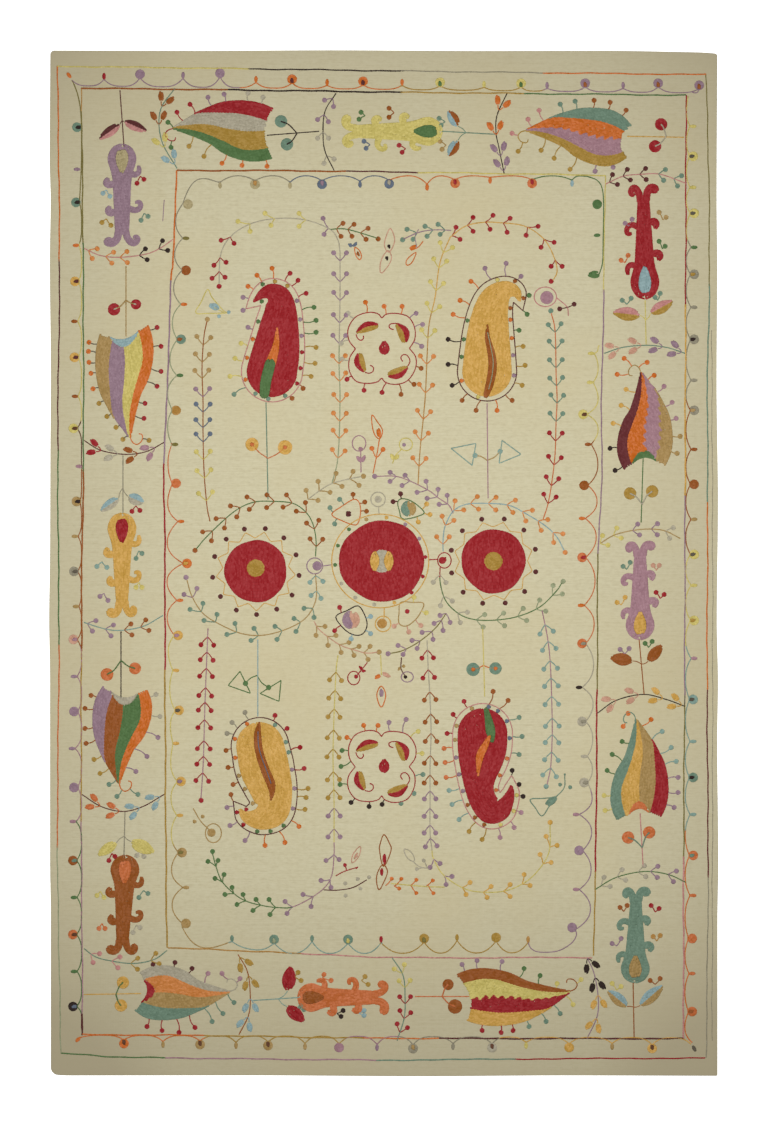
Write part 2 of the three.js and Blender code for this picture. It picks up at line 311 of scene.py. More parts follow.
# Frame lines: three frames of coloured lines, and the selvedge's own

frameLines = [
    # path, axis read, then the yarn, where it ends and its kind
    ([(57, 66), (240, 68.4), (420, 71), (706, 74.4)], 0,
        [("paleYellow", 249, "line"), ("nearBlack", 402, "line"), ("grey", 544, "fine"),
            ("orange", 706, "line")]),
    ([(57.5, 66), (59.5, 260), (57.8, 450), (59, 645), (57.5, 846), (61, 1053)], 1,
        [("orange", 260, "line"), ("maroon", 450, "line"), ("green", 645, "line"), ("coral", 846, "line"),
            ("sage", 1053, "fine")]),
    ([(61, 1052.5), (110, 1056), (165, 1057.3), (377, 1059.5), (515, 1058.5), (705, 1057.5)], 0,
        [("green", 165, "line"), ("mauve", 377, "line"), ("teal", 515, "line"), ("crimson", 705, "line")]),
    ([(706, 74), (709, 200), (709, 300), (707.4, 365), (707.5, 503), (707, 688), (708, 876), (706, 1057)], 1,
        [("olive", 285, "fine"), ("teal", 503, "line"), ("orange", 688, "line"), ("burgundy", 876, "line"),
            ("grey", 1057, "fine")]),
    ([(81, 88), (229, 89.6), (401, 92), (525, 93.3), (686, 95)], 0,
        [("rust", 229, "bold"), ("nearBlack", 401, "bold"), ("mustard", 525, "line"),
            ("green", 686, "line")]),
    ([(81.5, 88), (83, 243), (83.5, 350), (83.4, 470), (82, 560), (81.5, 650), (81.2, 805), (82.5, 1014),
            (82, 1034)], 1, [("ochre", 112, "fine"), ("olive", 243, "line"), ("green", 470, "line"),
            ("rust", 650, "bold"), ("mustard", 820, "line"), ("mauve", 1014, "line"),
            ("maroon", 1034, "bold")]),
    ([(82, 1034), (205, 1035), (363, 1037.5), (520, 1038), (683.5, 1038)], 0,
        [("orange", 205, "line"), ("mustard", 363, "line"), ("orange", 440, "line"),
            ("maroon", 683, "bold")]),
    ([(686, 95), (685.5, 305), (685, 494), (684.5, 690), (683.5, 855), (683.5, 1038)], 1,
        [("crimson", 305, "line"), ("gold", 494, "bold"), ("lavender", 694, "line"),
            ("darkGrey", 705, "fine"), ("olive", 855, "line"), ("pink", 1037, "bold")]),
    ([(177, 170), (345, 171), (605, 175)], 0,
        [("rust", 345, "bold"), ("maroon", 418, "line"), ("paleYellow", 605, "line")]),
    ([(177, 170), (173, 260), (171, 280), (167, 390), (164, 465), (165, 560), (165, 669), (166, 860),
            (167, 947)], 1, [("orange", 279, "bold"), ("lavender", 463, "bold"), ("crimson", 669, "bold"),
            ("mustard", 947, "bold")]),
    ([(168, 947), (300, 953), (400, 957), (592, 957)], 0, [("ochre", 300, "line"), ("pink", 592, "line")]),
    ([(605, 175), (603.5, 300), (601.5, 390), (601.5, 480), (598, 553), (597, 690), (595.6, 860), (593, 955)],
        1, [("paleYellow", 290, "fine"), ("lavender", 553, "line"), ("olive", 690, "line"),
            ("crimson", 871, "bold"), ("mustard", 955, "line")]),
    ([(711.5, 330), (712.5, 600), (712, 1040)], 1, [("grey", 1040, "hair")]),
]


def sewFrames():
    for points, axis, stretches in frameLines:
        path = smooth(points, step=1.1)
        drift = 0.3 * np.sin(path[:, 1 - axis] * 0.9 + path[:, axis] * 0.055)
        drift += 0.2 * np.sin(path[:, axis] * 0.21 + points[0][0])
        path[:, 1 - axis] += drift
        start = path[0, axis]
        for yarn, stop, kind in stretches:
            sew("frameLines", yarn, stretchOf(path, axis, start, stop), kind)
            start = stop
        print("frame line", axis, len(stretches))


# Guard loops: a line that runs along a frame and turns out to a bud, big and small by turns

guardLoops = {
    # buds: yarn, x, y and on a big one its heart's yarn, or an empty one; line: yarn and the place where it
    # ends; toward: the way the buds point; hug: the line between two buds
    "top": {
        "axis": 0, "toward": -1, "hug": lambda x: 85.6 + 0.0115 * (x - 81), "start": (72, 80),
        "end": (692, 92),
        "buds": [("crimson", 104, 76), ("lavender", 140, 74, ""), ("lavender", 183, 75),
            ("lavender", 220, 73, ""), ("orange", 256, 79), ("orange", 292, 79, "maroon"),
            ("orange", 327, 82), ("orange", 363, 81, "maroon"), ("orange", 402, 82),
            ("paleYellow", 440, 82, "green"), ("paleYellow", 484, 84), ("paleYellow", 521, 83, "green"),
            ("lavender", 547, 85), ("lavender", 585, 83, "rust"), ("lavender", 623, 85),
            ("lavender", 658, 83, "rust"), ("lavender", 699, 85, "rust")],
        "line": [("lavender", 240), ("orange", 400), ("mustard", 543), ("lavender", 700)]},
    "left": {
        "axis": 1, "toward": -1, "hug": lambda y: 81.6 + 0 * y, "start": (72, 80), "end": (82, 1030),
        "buds": [("teal", 76, 202, "nearBlack"), ("orange", 76, 245), ("gold", 75, 281, "maroon"),
            ("rust", 74.5, 321), ("gold", 74.5, 357, "maroon"), ("rust", 75, 396),
            ("paleYellow", 73.5, 428, "brown"), ("mauve", 79, 466), ("tan", 76.5, 501, "nearBlack"),
            ("tan", 75, 536), ("grey", 74, 571, "darkGrey"), ("tan", 76, 606), ("salmon", 73.5, 639, "mauve"),
            ("lavender", 74, 676), ("lavender", 74, 711, ""), ("lavender", 72, 748),
            ("lavender", 74, 787, ""), ("mauve", 73, 821), ("rust", 73, 860, "teal"), ("green", 74, 897),
            ("coral", 73, 934, "brown"), ("green", 74, 971), ("nearBlack", 73, 1006, "slate")],
        "line": [("olive", 243), ("paleYellow", 420), ("brown", 470), ("rust", 645), ("mauve", 820),
            ("green", 1012), ("maroon", 1034)]},
    "bottom": {
        "axis": 0, "toward": 1, "hug": lambda x: 1034.6 + 0.0045 * (x - 82), "start": (80, 1037),
        "end": (692, 1045),
        "buds": [("orange", 124, 1043, "brown"), ("tan", 163, 1044), ("tan", 200, 1044, "brown"),
            ("tan", 236, 1045), ("tan", 268, 1045, "brown"), ("tan", 305, 1046), ("mauve", 339, 1047, ""),
            ("lavender", 377, 1047), ("grey", 413, 1048, "tan"), ("grey", 453, 1046),
            ("silver", 492, 1047, "brown"), ("paleYellow", 526, 1045), ("gold", 569, 1047, ""),
            ("tan", 612, 1046), ("gold", 652, 1048, "brown")],
        "line": [("orange", 205), ("mustard", 345), ("mauve", 400), ("grey", 500), ("gold", 690)]},
    "right": {
        "axis": 1, "toward": 1, "hug": lambda y: 686.4 - 0.0018 * (y - 95), "fullness": 2.2,
        "start": (688, 96), "end": (692, 1042),
        "buds": [("paleYellow", 693, 126), ("paleYellow", 693, 156, "darkGrey"), ("paleYellow", 693, 187),
            ("paleYellow", 694, 213, "darkGrey"), ("green", 694, 247), ("grey", 694, 274, "mustard"),
            ("grey", 694, 307), ("grey", 694, 339, "nearBlack"), ("grey", 694, 380),
            ("grey", 694, 410, "tan"), ("rust", 694, 449), ("rust", 694, 484, ""), ("tan", 694, 519),
            ("paleYellow", 694, 554, "darkGrey"), ("paleYellow", 694, 585),
            ("paleYellow", 694, 620, "mustard"), ("mauve", 694, 658), ("lightTeal", 693, 699, "darkGrey"),
            ("lightTeal", 693, 741), ("teal", 693, 777, "nearBlack"), ("lightTeal", 693, 814),
            ("coral", 693, 855, "teal"), ("coral", 693, 895), ("coral", 692, 938, ""), ("coral", 692, 973),
            ("coral", 692, 1011, "rust")],
        "line": [("paleYellow", 240), ("grey", 400), ("rust", 555), ("paleYellow", 645), ("lightTeal", 830),
            ("orange", 1046)]},
}
budSize = {"big": 4.7, "small": (2.9, 1.1), "neck": 3.6, "smallNeck": 3.0}


def bud(piece, yarn, x, y, out, heart=None):
    # a big round bud where a heart's yarn, or an empty one, is given, else a small oval one
    # out points from the line to the bud
    out = np.array(out, float)
    centre = np.array([x, y], float)
    if heart is not None:
        dot(piece, yarn, x, y, budSize["big"])
        if heart:
            leaf(piece, heart, centre - out * 4.5, centre + out * 2.2, 1.5, level=1)
    else:
        turn = np.linspace(0, 2 * math.pi, 15)[:, None]
        side = np.array([-out[1], out[0]])
        long, slim = budSize["small"]
        sew(piece, yarn, centre + out * np.cos(turn) * long + side * np.sin(turn) * slim, "fill")
        sew(piece, yarn, [centre - out * long, centre + out * long], "fill")


def budLoop(piece, loop, fullness=3.0, least=8):
    axis, toward = loop["axis"], loop["toward"]
    out = np.array([0.0, toward]) if axis == 0 else np.array([toward, 0.0])
    knots = [loop["start"]]
    for yarn, x, y, *heart in loop["buds"]:
        neck = budSize["neck"] if heart else budSize["smallNeck"]
        knots.append(tuple(np.array([x, y]) - out * neck))
        bud(piece, yarn, x, y, out, *heart)
    if loop.get("end"):
        knots.append(loop["end"])
    path = []
    for a, b in zip(knots, knots[1:]):
        a, b = np.array(a, float), np.array(b, float)
        t = np.linspace(0, 1, max(least, int(abs(b[axis] - a[axis]) / 1.3)))[:, None]
        arc = a * (1 - t) + b * t
        lift = 1 - np.abs(2 * t[:, 0] - 1) ** loop.get("fullness", fullness)
        arc[:, 1 - axis] += (loop["hug"](arc[:, axis]) - arc[:, 1 - axis]) * lift
        path.append(arc)
    path = np.vstack(path)
    start = path[0, axis]
    for yarn, stop in loop["line"]:
        sew(piece, yarn, stretchOf(path, axis, start, stop), "fine")
        start = stop


def sewGuards():
    for side, loop in guardLoops.items():
        budLoop("guardLoops", loop)
        print("guard loop", side, len(loop["buds"]), "buds")
    bud("guardLoops", "orange", 69, 75, (-0.6, -0.8))
    bud("guardLoops", "teal", 77, 127, (-1, 0), "nearBlack")
    bud("guardLoops", "lavender", 77, 169, (-1, 0))
    bud("guardLoops", "orange", 78, 1039, (-0.7, 0.7))
    bud("guardLoops", "darkGrey", 694, 1048, (0.5, 0.9))


# Border columns: a domed head with a drop in it, hooks on both sides and two curled feet

columnShape = {
    "length": 98.0,  # what the shape below is drawn for
    "narrows": (40, 45, 0.8),  # from, over, and the body's share of it
    "outline": [(0, 1.0), (1.5, 6.5), (4, 9.8), (8, 12.6), (14, 14.2), (19, 13.2), (25, 11.0), (31, 9.6),
        (37, 9.0), (60, 7.9), (78, 7.0), (86, 6.4)],  # along the column, half width
    "drop": (4.5, 28.0, 6.0),  # from, to, half width
    # spines of (along, across, radius); the first two hooks are closed, the others open
    "hooks": [[(36.5, -7.5, 3.0), (38.6, -11, 3.1), (38, -14.6, 3.5), (35.6, -15.6, 3.3), (34.2, -15, 2.7)],
        [(63, -6, 3.0), (65.4, -9.5, 3.1), (64.8, -12.8, 3.5), (62.4, -13.8, 3.3), (61, -13.2, 2.7)],
        [(26.5, 7, 3.0), (29, 12, 2.6), (27.9, 16, 2.3), (24.4, 17.4, 2.1), (21.8, 16.8, 1.8)],
        [(61, 7, 3.0), (62.8, 13, 2.6), (61.4, 17.3, 2.4), (57.5, 19, 2.1), (54.6, 17.2, 1.9),
            (55.2, 14.6, 1.6)], [(82, -3.5, 3.4), (89.5, -4.7, 3.5), (93.6, -9, 3.8), (92.8, -13.2, 4.7)],
        [(82, 3.5, 3.4), (88.5, 5.2, 3.2), (93.6, 9.6, 3.2), (93.2, 14.2, 2.8), (89.6, 16, 2.3),
            (87.4, 13.9, 1.8), (88.4, 12.3, 1.4)],],
}

columns = [
    # yarn, drop yarn, head end, foot end, share of the foot's width, stem yarn and path,
    # leaves (yarns, tail, tip, half width), cherry pairs
    ("lavender", "khaki", (122, 144), (122, 247), 1.0, "maroon", [(120, 90), (122, 118), (124, 146)],
        [("pink", "maroon", (120, 124), (99, 139), 4.6), ("maroon", "pink", (124, 121), (147, 131), 4.6)],
        [("crimson", (144, 179), (137, 183)), ("lightBlue", (103, 193), (110, 196)),
        ("teal", (148, 216), (141, 220)), ("mustard", (102, 222), (111, 225))]),
    ("gold", "crimson", (122, 513), (122, 618), 0.8, "grey", [(123, 455), (123, 514)],
        [("silver", "lightBlue", (118.8, 497.8), (100.4, 510.8), 4.6),
        ("lightBlue", "silver", (128, 496), (144, 502.5), 5.5)],
        [("crimson", (132, 511), (140, 510)), ("teal", (142, 553), (136, 558)),
        ("lightTeal", (97, 566), (107, 567)), ("paleYellow", (136, 587), (142, 587)),
        ("lavender", (100, 596), (108, 600))]),
    ("rust", "coral", (125.5, 855), (122, 955), 0.84, "grey", [(125, 811), (124, 856)],
        [("paleYellow", "paleYellow", (116.6, 842), (97.7, 855), 5.0),
        ("paleYellow", "paleYellow", (131, 841), (154.5, 852), 6.5)],
        [("crimson", (115, 856), (109, 860)), ("silver", (137, 855), (144, 856)),
        ("teal", (148, 893), (139, 897)), ("paleYellow", (97, 895), (104, 897)),
        ("coral", (99, 928), (105, 928)), ("silver", (133, 932), (140, 927))]),
    ("coral", "rust", (298, 997), (389, 997), 0.92, "lightTeal", [(253, 1000), (299, 997)],
        [("crimson", "crimson", (287.5, 990.5), (290.6, 965.5), 6.7),
        ("crimson", "crimson", (286.7, 1006), (304.4, 1021), 6.2)],
        [("mustard", (298, 972), (301, 980)), ("coral", (324, 974), (331, 980)),
        ("mustard", (365, 976), (368, 984)), ("teal", (301, 1005), (304, 1009)),
        ("nearBlack", (343, 1010), (341, 1016)), ("lightBlue", (364, 1010), (364, 1015))]),
    ("teal", "tan", (635, 982), (636, 886), 0.72, "rust", [(634, 1037), (633, 982)],
        [("tan", "lightBlue", (627, 1006), (607.5, 990), 5.6),
        ("lightBlue", "tan", (640, 1005), (663, 985), 6.0)],
        [("paleYellow", (612, 983), (621, 986)), ("rust", (650, 980), (660, 978)),
        ("rust", (620, 907), (627, 905)), ("crimson", (651, 905), (659, 908)),
        ("lavender", (612, 943), (621, 938)), ("ochre", (653, 936), (660, 935))]),
    ("mauve", "gold", (640, 639), (640, 540), 0.78, "rust", [(644, 694), (639, 639)],
        [("rust", "rust", (632.5, 660.5), (610, 657), 6.0), ("rust", "rust", (648, 661), (662, 644.5), 5.4)],
        [("lavender", (620, 649), (629, 648)), ("green", (645, 643), (652, 641)),
        ("teal", (623, 566), (630, 562)), ("salmon", (653, 565), (659, 565)),
        ("gold", (617, 602), (625, 597)), ("crimson", (656, 592), (664, 594))]),
    ("crimson", "lightBlue", (645, 298.5), (643, 182.5), 0.8, "paleYellow", [(646, 344), (645, 300)],
        [("mustard", "pink", (640, 315), (612.5, 312), 6.6),
        ("pink", "mustard", (650.5, 313), (673, 300.5), 5.8)],
        [("teal", (622, 300), (631, 298)), ("teal", (655, 297), (660, 293)),
        ("lavender", (625, 223), (632, 219)), ("tan", (659, 212), (666, 217)),
        ("green", (659, 241), (665, 246)), ("coral", (621, 260), (628, 255))]),
    ("paleYellow", "green", (442, 131), (341, 131), 0.88, "teal", [(495, 134), (442, 131)],
        [("lightBlue", "rust", (458, 126), (448, 110), 5.0),
        ("rust", "lightBlue", (458, 140), (448, 156), 5.0)],
        [("teal", (439, 118), (441, 125)), ("tan", (440, 141), (442, 149)), ("green", (361, 112), (359, 119)),
        ("rust", (389, 108), (389, 117)), ("slate", (364, 141), (366, 148)),
        ("crimson", (399, 145), (402, 152))]),
]


def sewColumn(yarn, dropYarn, head, foot, narrow, stemYarn, stemPath, leaves, cherries):
    piece = "borderColumns"
    head, foot = np.array(head, float), np.array(foot, float)
    length = np.linalg.norm(foot - head)
    axis = (foot - head) / length
    side = np.array([axis[1], -axis[0]])
    scale = length / columnShape["length"]
    narrowFrom, narrowOver, bodyShare = columnShape["narrows"]

    def local(points):
        p = np.array(points, float)
        slim = 1 - (1 - narrow) * np.clip((p[:, :1] - narrowFrom) / narrowOver, 0, 1)
        place = head + axis * (p[:, :1] * scale) + side * p[:, 1:2] * slim
        return np.hstack([place, p[:, 2:]])

    along = np.arange(0, columnShape["outline"][-1][0] + 0.1, 1.1)
    half = fair(columnShape["outline"], along)
    half *= 1 - (1 - narrow) * bodyShare * np.clip((along - narrowFrom) / narrowOver, 0, 1)
    spine = local(np.stack([along, 0 * along], axis=1))
    fillBetween(piece, yarn, spine - side * half[:, None], spine + side * half[:, None])
    for hook in columnShape["hooks"]:
        sweep(piece, yarn, local(hook), caps=(False, True))
    start, stop, dropHalf = columnShape["drop"]
    tail, tip = local([(start, 0), (stop, 0)])
    leaf(piece, dropYarn, tail, tip, dropHalf, belly=0.36, blunt=0.75, level=1)
    openLine(piece, stemYarn, stemPath, "fine")
    for one, two, tail, tip, halfLeaf in leaves:
        joint = np.array(stemPath[0]) + (np.array(stemPath[-1]) - np.array(stemPath[0])) * 0.55
        stem(piece, stemYarn, joint, tail, 0.1, "hair")
        leaf(piece, one, tail, tip, halfLeaf, second=two)
    for cherryYarn, one, two in cherries:
        joint = (np.array(one, float) + np.array(two, float)) / 2 - axis * 5.0
        for place in (one, two):
            stem(piece, cherryYarn, joint, place, 0.05)
            dot(piece, cherryYarn, place[0], place[1], 2.6)


# Border fans: four bands that run from a hollow base to a curled tip, with buds on stems all round

fanShape = {
    # from base to tip: half width as a share of the widest, and how far the middle bends from straight
    "half": [(0.25, 1.0), (0.42, 0.93), (0.52, 0.82), (0.63, 0.62), (0.74, 0.46), (0.86, 0.26), (1, 0.03)],
    "bend": [(0, 0), (0.31, -1.5), (0.5, -3.4), (0.63, -5.2), (0.75, -4.6), (0.86, -2.8), (1, 0)],
    # depths of the hollow base: beside the crescent, the crescent's near and far edge, and without a crescent
    "flank": 4.4, "near": 5.4, "far": 12.8, "plain": 8.5, "span": 0.62,
    "bands": [[(0, -0.41), (0.31, -0.545), (0.52, -0.58), (0.63, -0.66), (0.73, -0.84), (0.84, -0.99),
        (1, -0.99)], [(0, -0.1), (0.31, 0.02), (0.52, 0.01), (0.73, -0.06), (0.86, -0.15), (1, -0.6)],
        [(0, 0.55), (0.31, 0.64), (0.52, 0.53), (0.63, 0.56), (0.73, 0.49), (0.86, 0.38), (1, 0.2)]],
    "teeth": (8.5, 0.22, 0.12, 0.92),  # of a ragged band: length, depth, first and last place along the fan
    "curl": [(-1, 0), (5, 2.2), (7.5, 7), (3.5, 12), (-2.3, 12.3), (-3, 9)],
}

fans = [
    # corners, tip, widest, bands, crescent, curl, ragged bands, stem yarn and ends, balls, ball stems, pins
    {"corners": ((100, 334), (148, 324)), "tip": (130, 437), "wide": 59,
        "bands": "tan lavender paleYellow orange",
        "crescent": "lightBlue", "curl": "orange", "stem": ("tan", (126, 266), (126, 336)),
        "balls": [("crimson", 114, 309, 6), ("crimson", 136, 304, 5)], "joint": ("tan", 126, 300),
        "heart": "silver",
        "pinStem": "darkGrey",
        "pins": {"orange": [(89, 342), (88.5, 351), (89, 362), (91, 373), (93, 388.5)],
        "mustard": [(99, 403), (107, 416), (116, 427), (123, 439), (149, 440)],
        "crimson": [(157, 327), (161, 346), (161, 371), (157, 386), (145, 403), (144, 418)]}},
    {"corners": ((103, 686), (147, 689)), "tip": (119, 783), "wide": 58.5,
        "bands": "lavender rust green orange",
        "crescent": "silver", "curl": "orange", "stem": ("nearBlack", (121, 631), (121, 698)),
        "balls": [("coral", 107, 674, 6.2), ("coral", 135, 668, 5.8)], "joint": ("green", 121, 660),
        "heart": "green",
        "pins": {"rust": [(91, 695), (85, 708), (85, 728), (86, 743)], "mustard": [(94, 759), (100, 773)],
        "teal": [(109, 784), (117, 796), (138, 794)], "silver": [(156, 694), (160, 716)],
        "lavender": [(158, 737), (147, 756), (136, 771)]}},
    {"corners": ((135, 1010), (140, 972)), "tip": (230, 991), "wide": 55, "bands": "teal tan apricot silver",
        "crescent": "crimson", "curl": "silver", "stem": ("gold", (84, 994), (141, 993)),
        "balls": [("gold", 123, 982, 6), ("gold", 121, 1005, 6)], "joint": ("green", 116, 994),
        "heart": "green",
        "pins": {"maroon": [(153, 964), (175, 962), (192, 968)],
        "mauve": [(208, 973), (222, 973), (240, 978)],
        "crimson": [(147, 1026), (162, 1030), (179, 1032), (195, 1027)],
        "teal": [(212, 1021), (223, 1013), (234, 1002)]}},
    {"corners": ((467, 1020), (456, 974)), "tip": (570, 991), "wide": 59,
        "bands": "gold crimson paleYellow rust",
        "crescent": None, "curl": "rust", "ragged": (1,), "stem": ("coral", (415, 996), (469, 996)),
        "balls": [("rust", 448, 984, 5.5), ("rust", 455, 1006, 7)], "joint": ("coral", 442, 996),
        "heart": "coral",
        "pins": {"lavender": [(462, 964), (477, 960), (502, 961)], "green": [(524, 968), (540, 975)],
        "paleYellow": [(557, 983), (581, 979), (573, 1004)],
        "crimson": [(482, 1030), (501, 1032), (513, 1030)],
        "teal": [(529, 1026), (546, 1021), (560, 1013)]}},
    {"corners": ((661, 816), (617, 820)), "tip": (636, 719), "wide": 58, "bands": "crimson tan gold teal",
        "crescent": "coral", "span": 0.48, "curl": "teal", "stem": ("pink", (643, 866), (640, 813)),
        "balls": [("coral", 628, 837, 6), ("coral", 649, 832, 6)], "joint": ("teal", 642, 847),
        "heart": "teal",
        "pins": {"orange": [(628, 713), (623, 726), (651, 719)],
        "lightTeal": [(662, 731), (671, 747), (676, 761)],
        "lavender": [(678, 777), (678, 792), (674, 807)], "green": [(622, 741), (612, 754), (607, 770)],
        "paleYellow": [(604, 795), (605, 810)]}},
    {"corners": ((665, 465), (624, 469)), "tip": (641, 372), "wide": 55.5,
        "bands": "tan mauve orange burgundy",
        "crescent": "green", "curl": "tan", "ragged": (0, 1), "stem": ("green", (641, 522), (643, 458)),
        "balls": [("mustard", 630, 493, 6), ("mustard", 652, 491, 6)], "joint": ("silver", 642, 504),
        "heart": "silver",
        "pins": {"orange": [(624, 358), (617, 374), (647, 362), (654, 375)],
        "mauve": [(664, 386), (672, 402), (676, 418)],
        "tan": [(680, 436), (677, 453)], "gold": [(626, 389), (621, 405), (613, 423)],
        "nearBlack": [(610, 448), (615, 470)]}},
    {"corners": ((631, 125), (627, 157)), "tip": (526, 130), "wide": 57, "bands": "teal orange mauve mustard",
        "crescent": None, "curl": "mustard", "ragged": (1,), "stem": ("gold", (684, 137), (627, 136)),
        "balls": [("crimson", 661, 124, 6), ("crimson", 655, 146, 6)], "joint": ("silver", 666, 136),
        "heart": "silver",
        "pins": {"pink": [(539, 110), (528, 119), (512, 133)], "teal": [(560, 104), (575, 101)],
        "rust": [(594, 100), (610, 102), (626, 110)],
        "mustard": [(518, 151), (541, 150), (554, 158), (570, 169)],
        "lavender": [(595, 171), (613, 167)]}},
    {"corners": ((273, 108), (273, 158)), "tip": (173, 128), "wide": 60,
        "bands": "crimson silver mustard green",
        "crescent": None, "curl": "crimson", "stem": ("nearBlack", (267, 135), (319, 131)),
        "balls": [("teal", 281, 121, 6), ("teal", 287, 144, 6)], "joint": ("nearBlack", 297, 133),
        "heart": "nearBlack",
        "pins": {"crimson": [(190, 104), (177, 112)], "lavender": [(208, 97), (224, 94)],
        "silver": [(248, 93), (263, 97)],
        "green": [(168, 122), (171, 147)], "mustard": [(189, 146), (204, 156)],
        "orange": [(222, 163), (242, 165), (267, 166)]}},
]


def sewFan(fan):
    piece = "borderFans"
    cornerA, cornerB = (np.array(c, float) for c in fan["corners"])
    tip = np.array(fan["tip"], float)
    base = (cornerA + cornerB) / 2
    length = np.linalg.norm(tip - base)
    axis = (tip - base) / length
    halfBase = np.linalg.norm(cornerB - cornerA) / 2
    out = (cornerB - cornerA) / (2 * halfBase)
    wide = fan["wide"] / 2
    u = np.linspace(0, 1, int(length / 1.0))
    half = fair([(0, halfBase), (0.10, (halfBase + 2 * wide) / 3)]
                + [(place, share * wide) for place, share in fanShape["half"]], u)
    spine = base + (tip - base) * u[:, None] + out * fair(fanShape["bend"], u)[:, None]
    lean = spine + out * half[:, None]
    bulge = spine - out * half[:, None]

    def lengthwise(s):
        return (lean + bulge) / 2 + (lean - bulge) / 2 * s[:, None]

    normal = np.array([-out[1], out[0]])

    def hollowAt(share):
        # how deep the base is cut: to the crescent's near edge and to its far edge
        if not fan["crescent"]:
            plain = fanShape["plain"] * np.maximum(1 - share**2, 0)
            return plain, plain
        span = fan.get("span", fanShape["span"])
        moon = np.maximum(1 - (share / span) ** 2, 0)
        flank = fanShape["flank"] * (1 - np.clip((np.abs(share) - span) / (1 - span), 0, 1) ** 1.6)
        return flank + fanShape["near"] * moon, flank + fanShape["far"] * moon

    def inside(p):
        depth = (p - base) @ normal / (axis @ normal)
        share = (p - base - axis * depth[..., None]) @ out / halfBase
        return depth > hollowAt(share)[1] - 0.8

    edges = [-np.ones_like(u)] + [fair(table, u) for table in fanShape["bands"]] + [np.ones_like(u)]
    toothLength, toothDepth, first, last = fanShape["teeth"]
    for which in fan.get("ragged", ()):
        saw = (u * length / toothLength) % 1.0
        edges[which + 1] = edges[which + 1] + toothDepth * (saw - 0.5) * (u > first) * (u < last)
    for yarn, low, high in zip(fan["bands"].split(), edges, edges[1:]):
        fillBetween(piece, yarn, lengthwise(low), lengthwise(high), inside)
    if fan["crescent"]:
        span = fan.get("span", fanShape["span"])
        share = np.linspace(-span, span, 36)
        near, far = hollowAt(share)
        line = base + out * (share * halfBase)[:, None]
        fillBetween(piece, fan["crescent"], line + axis * near[:, None], line + axis * far[:, None])
    side = np.array([axis[1], -axis[0]])
    curl = [tip + axis * a + side * b for a, b in fanShape["curl"]]
    openLine(piece, fan["curl"], curl, "fine")
    outline = np.vstack([lean, bulge, smooth(curl)])
    for yarn, places in fan["pins"].items():
        for x, y in places:
            pin(piece, yarn, x, y, outline, fan.get("pinStem"))
    yarn, start, stop = fan["stem"]
    openLine(piece, yarn, [start, stop], "fine")
    jointYarn, jx, jy = fan["joint"]
    for ballYarn, x, y, r in fan["balls"]:
        dot(piece, ballYarn, x, y, r)
        reach = np.array([x - jx, y - jy])
        middle = (jx + reach[0] * 0.5, jy + reach[1] * 0.7)
        sew(piece, jointYarn, smooth([(jx, jy), middle, (x, y)]), "fine", 1)
        sew(piece, fan["heart"], [(x - reach[0] * 0.25, y - reach[1] * 0.15), (x, y)], "line", 1)


# Cross vines: one between each column and fan

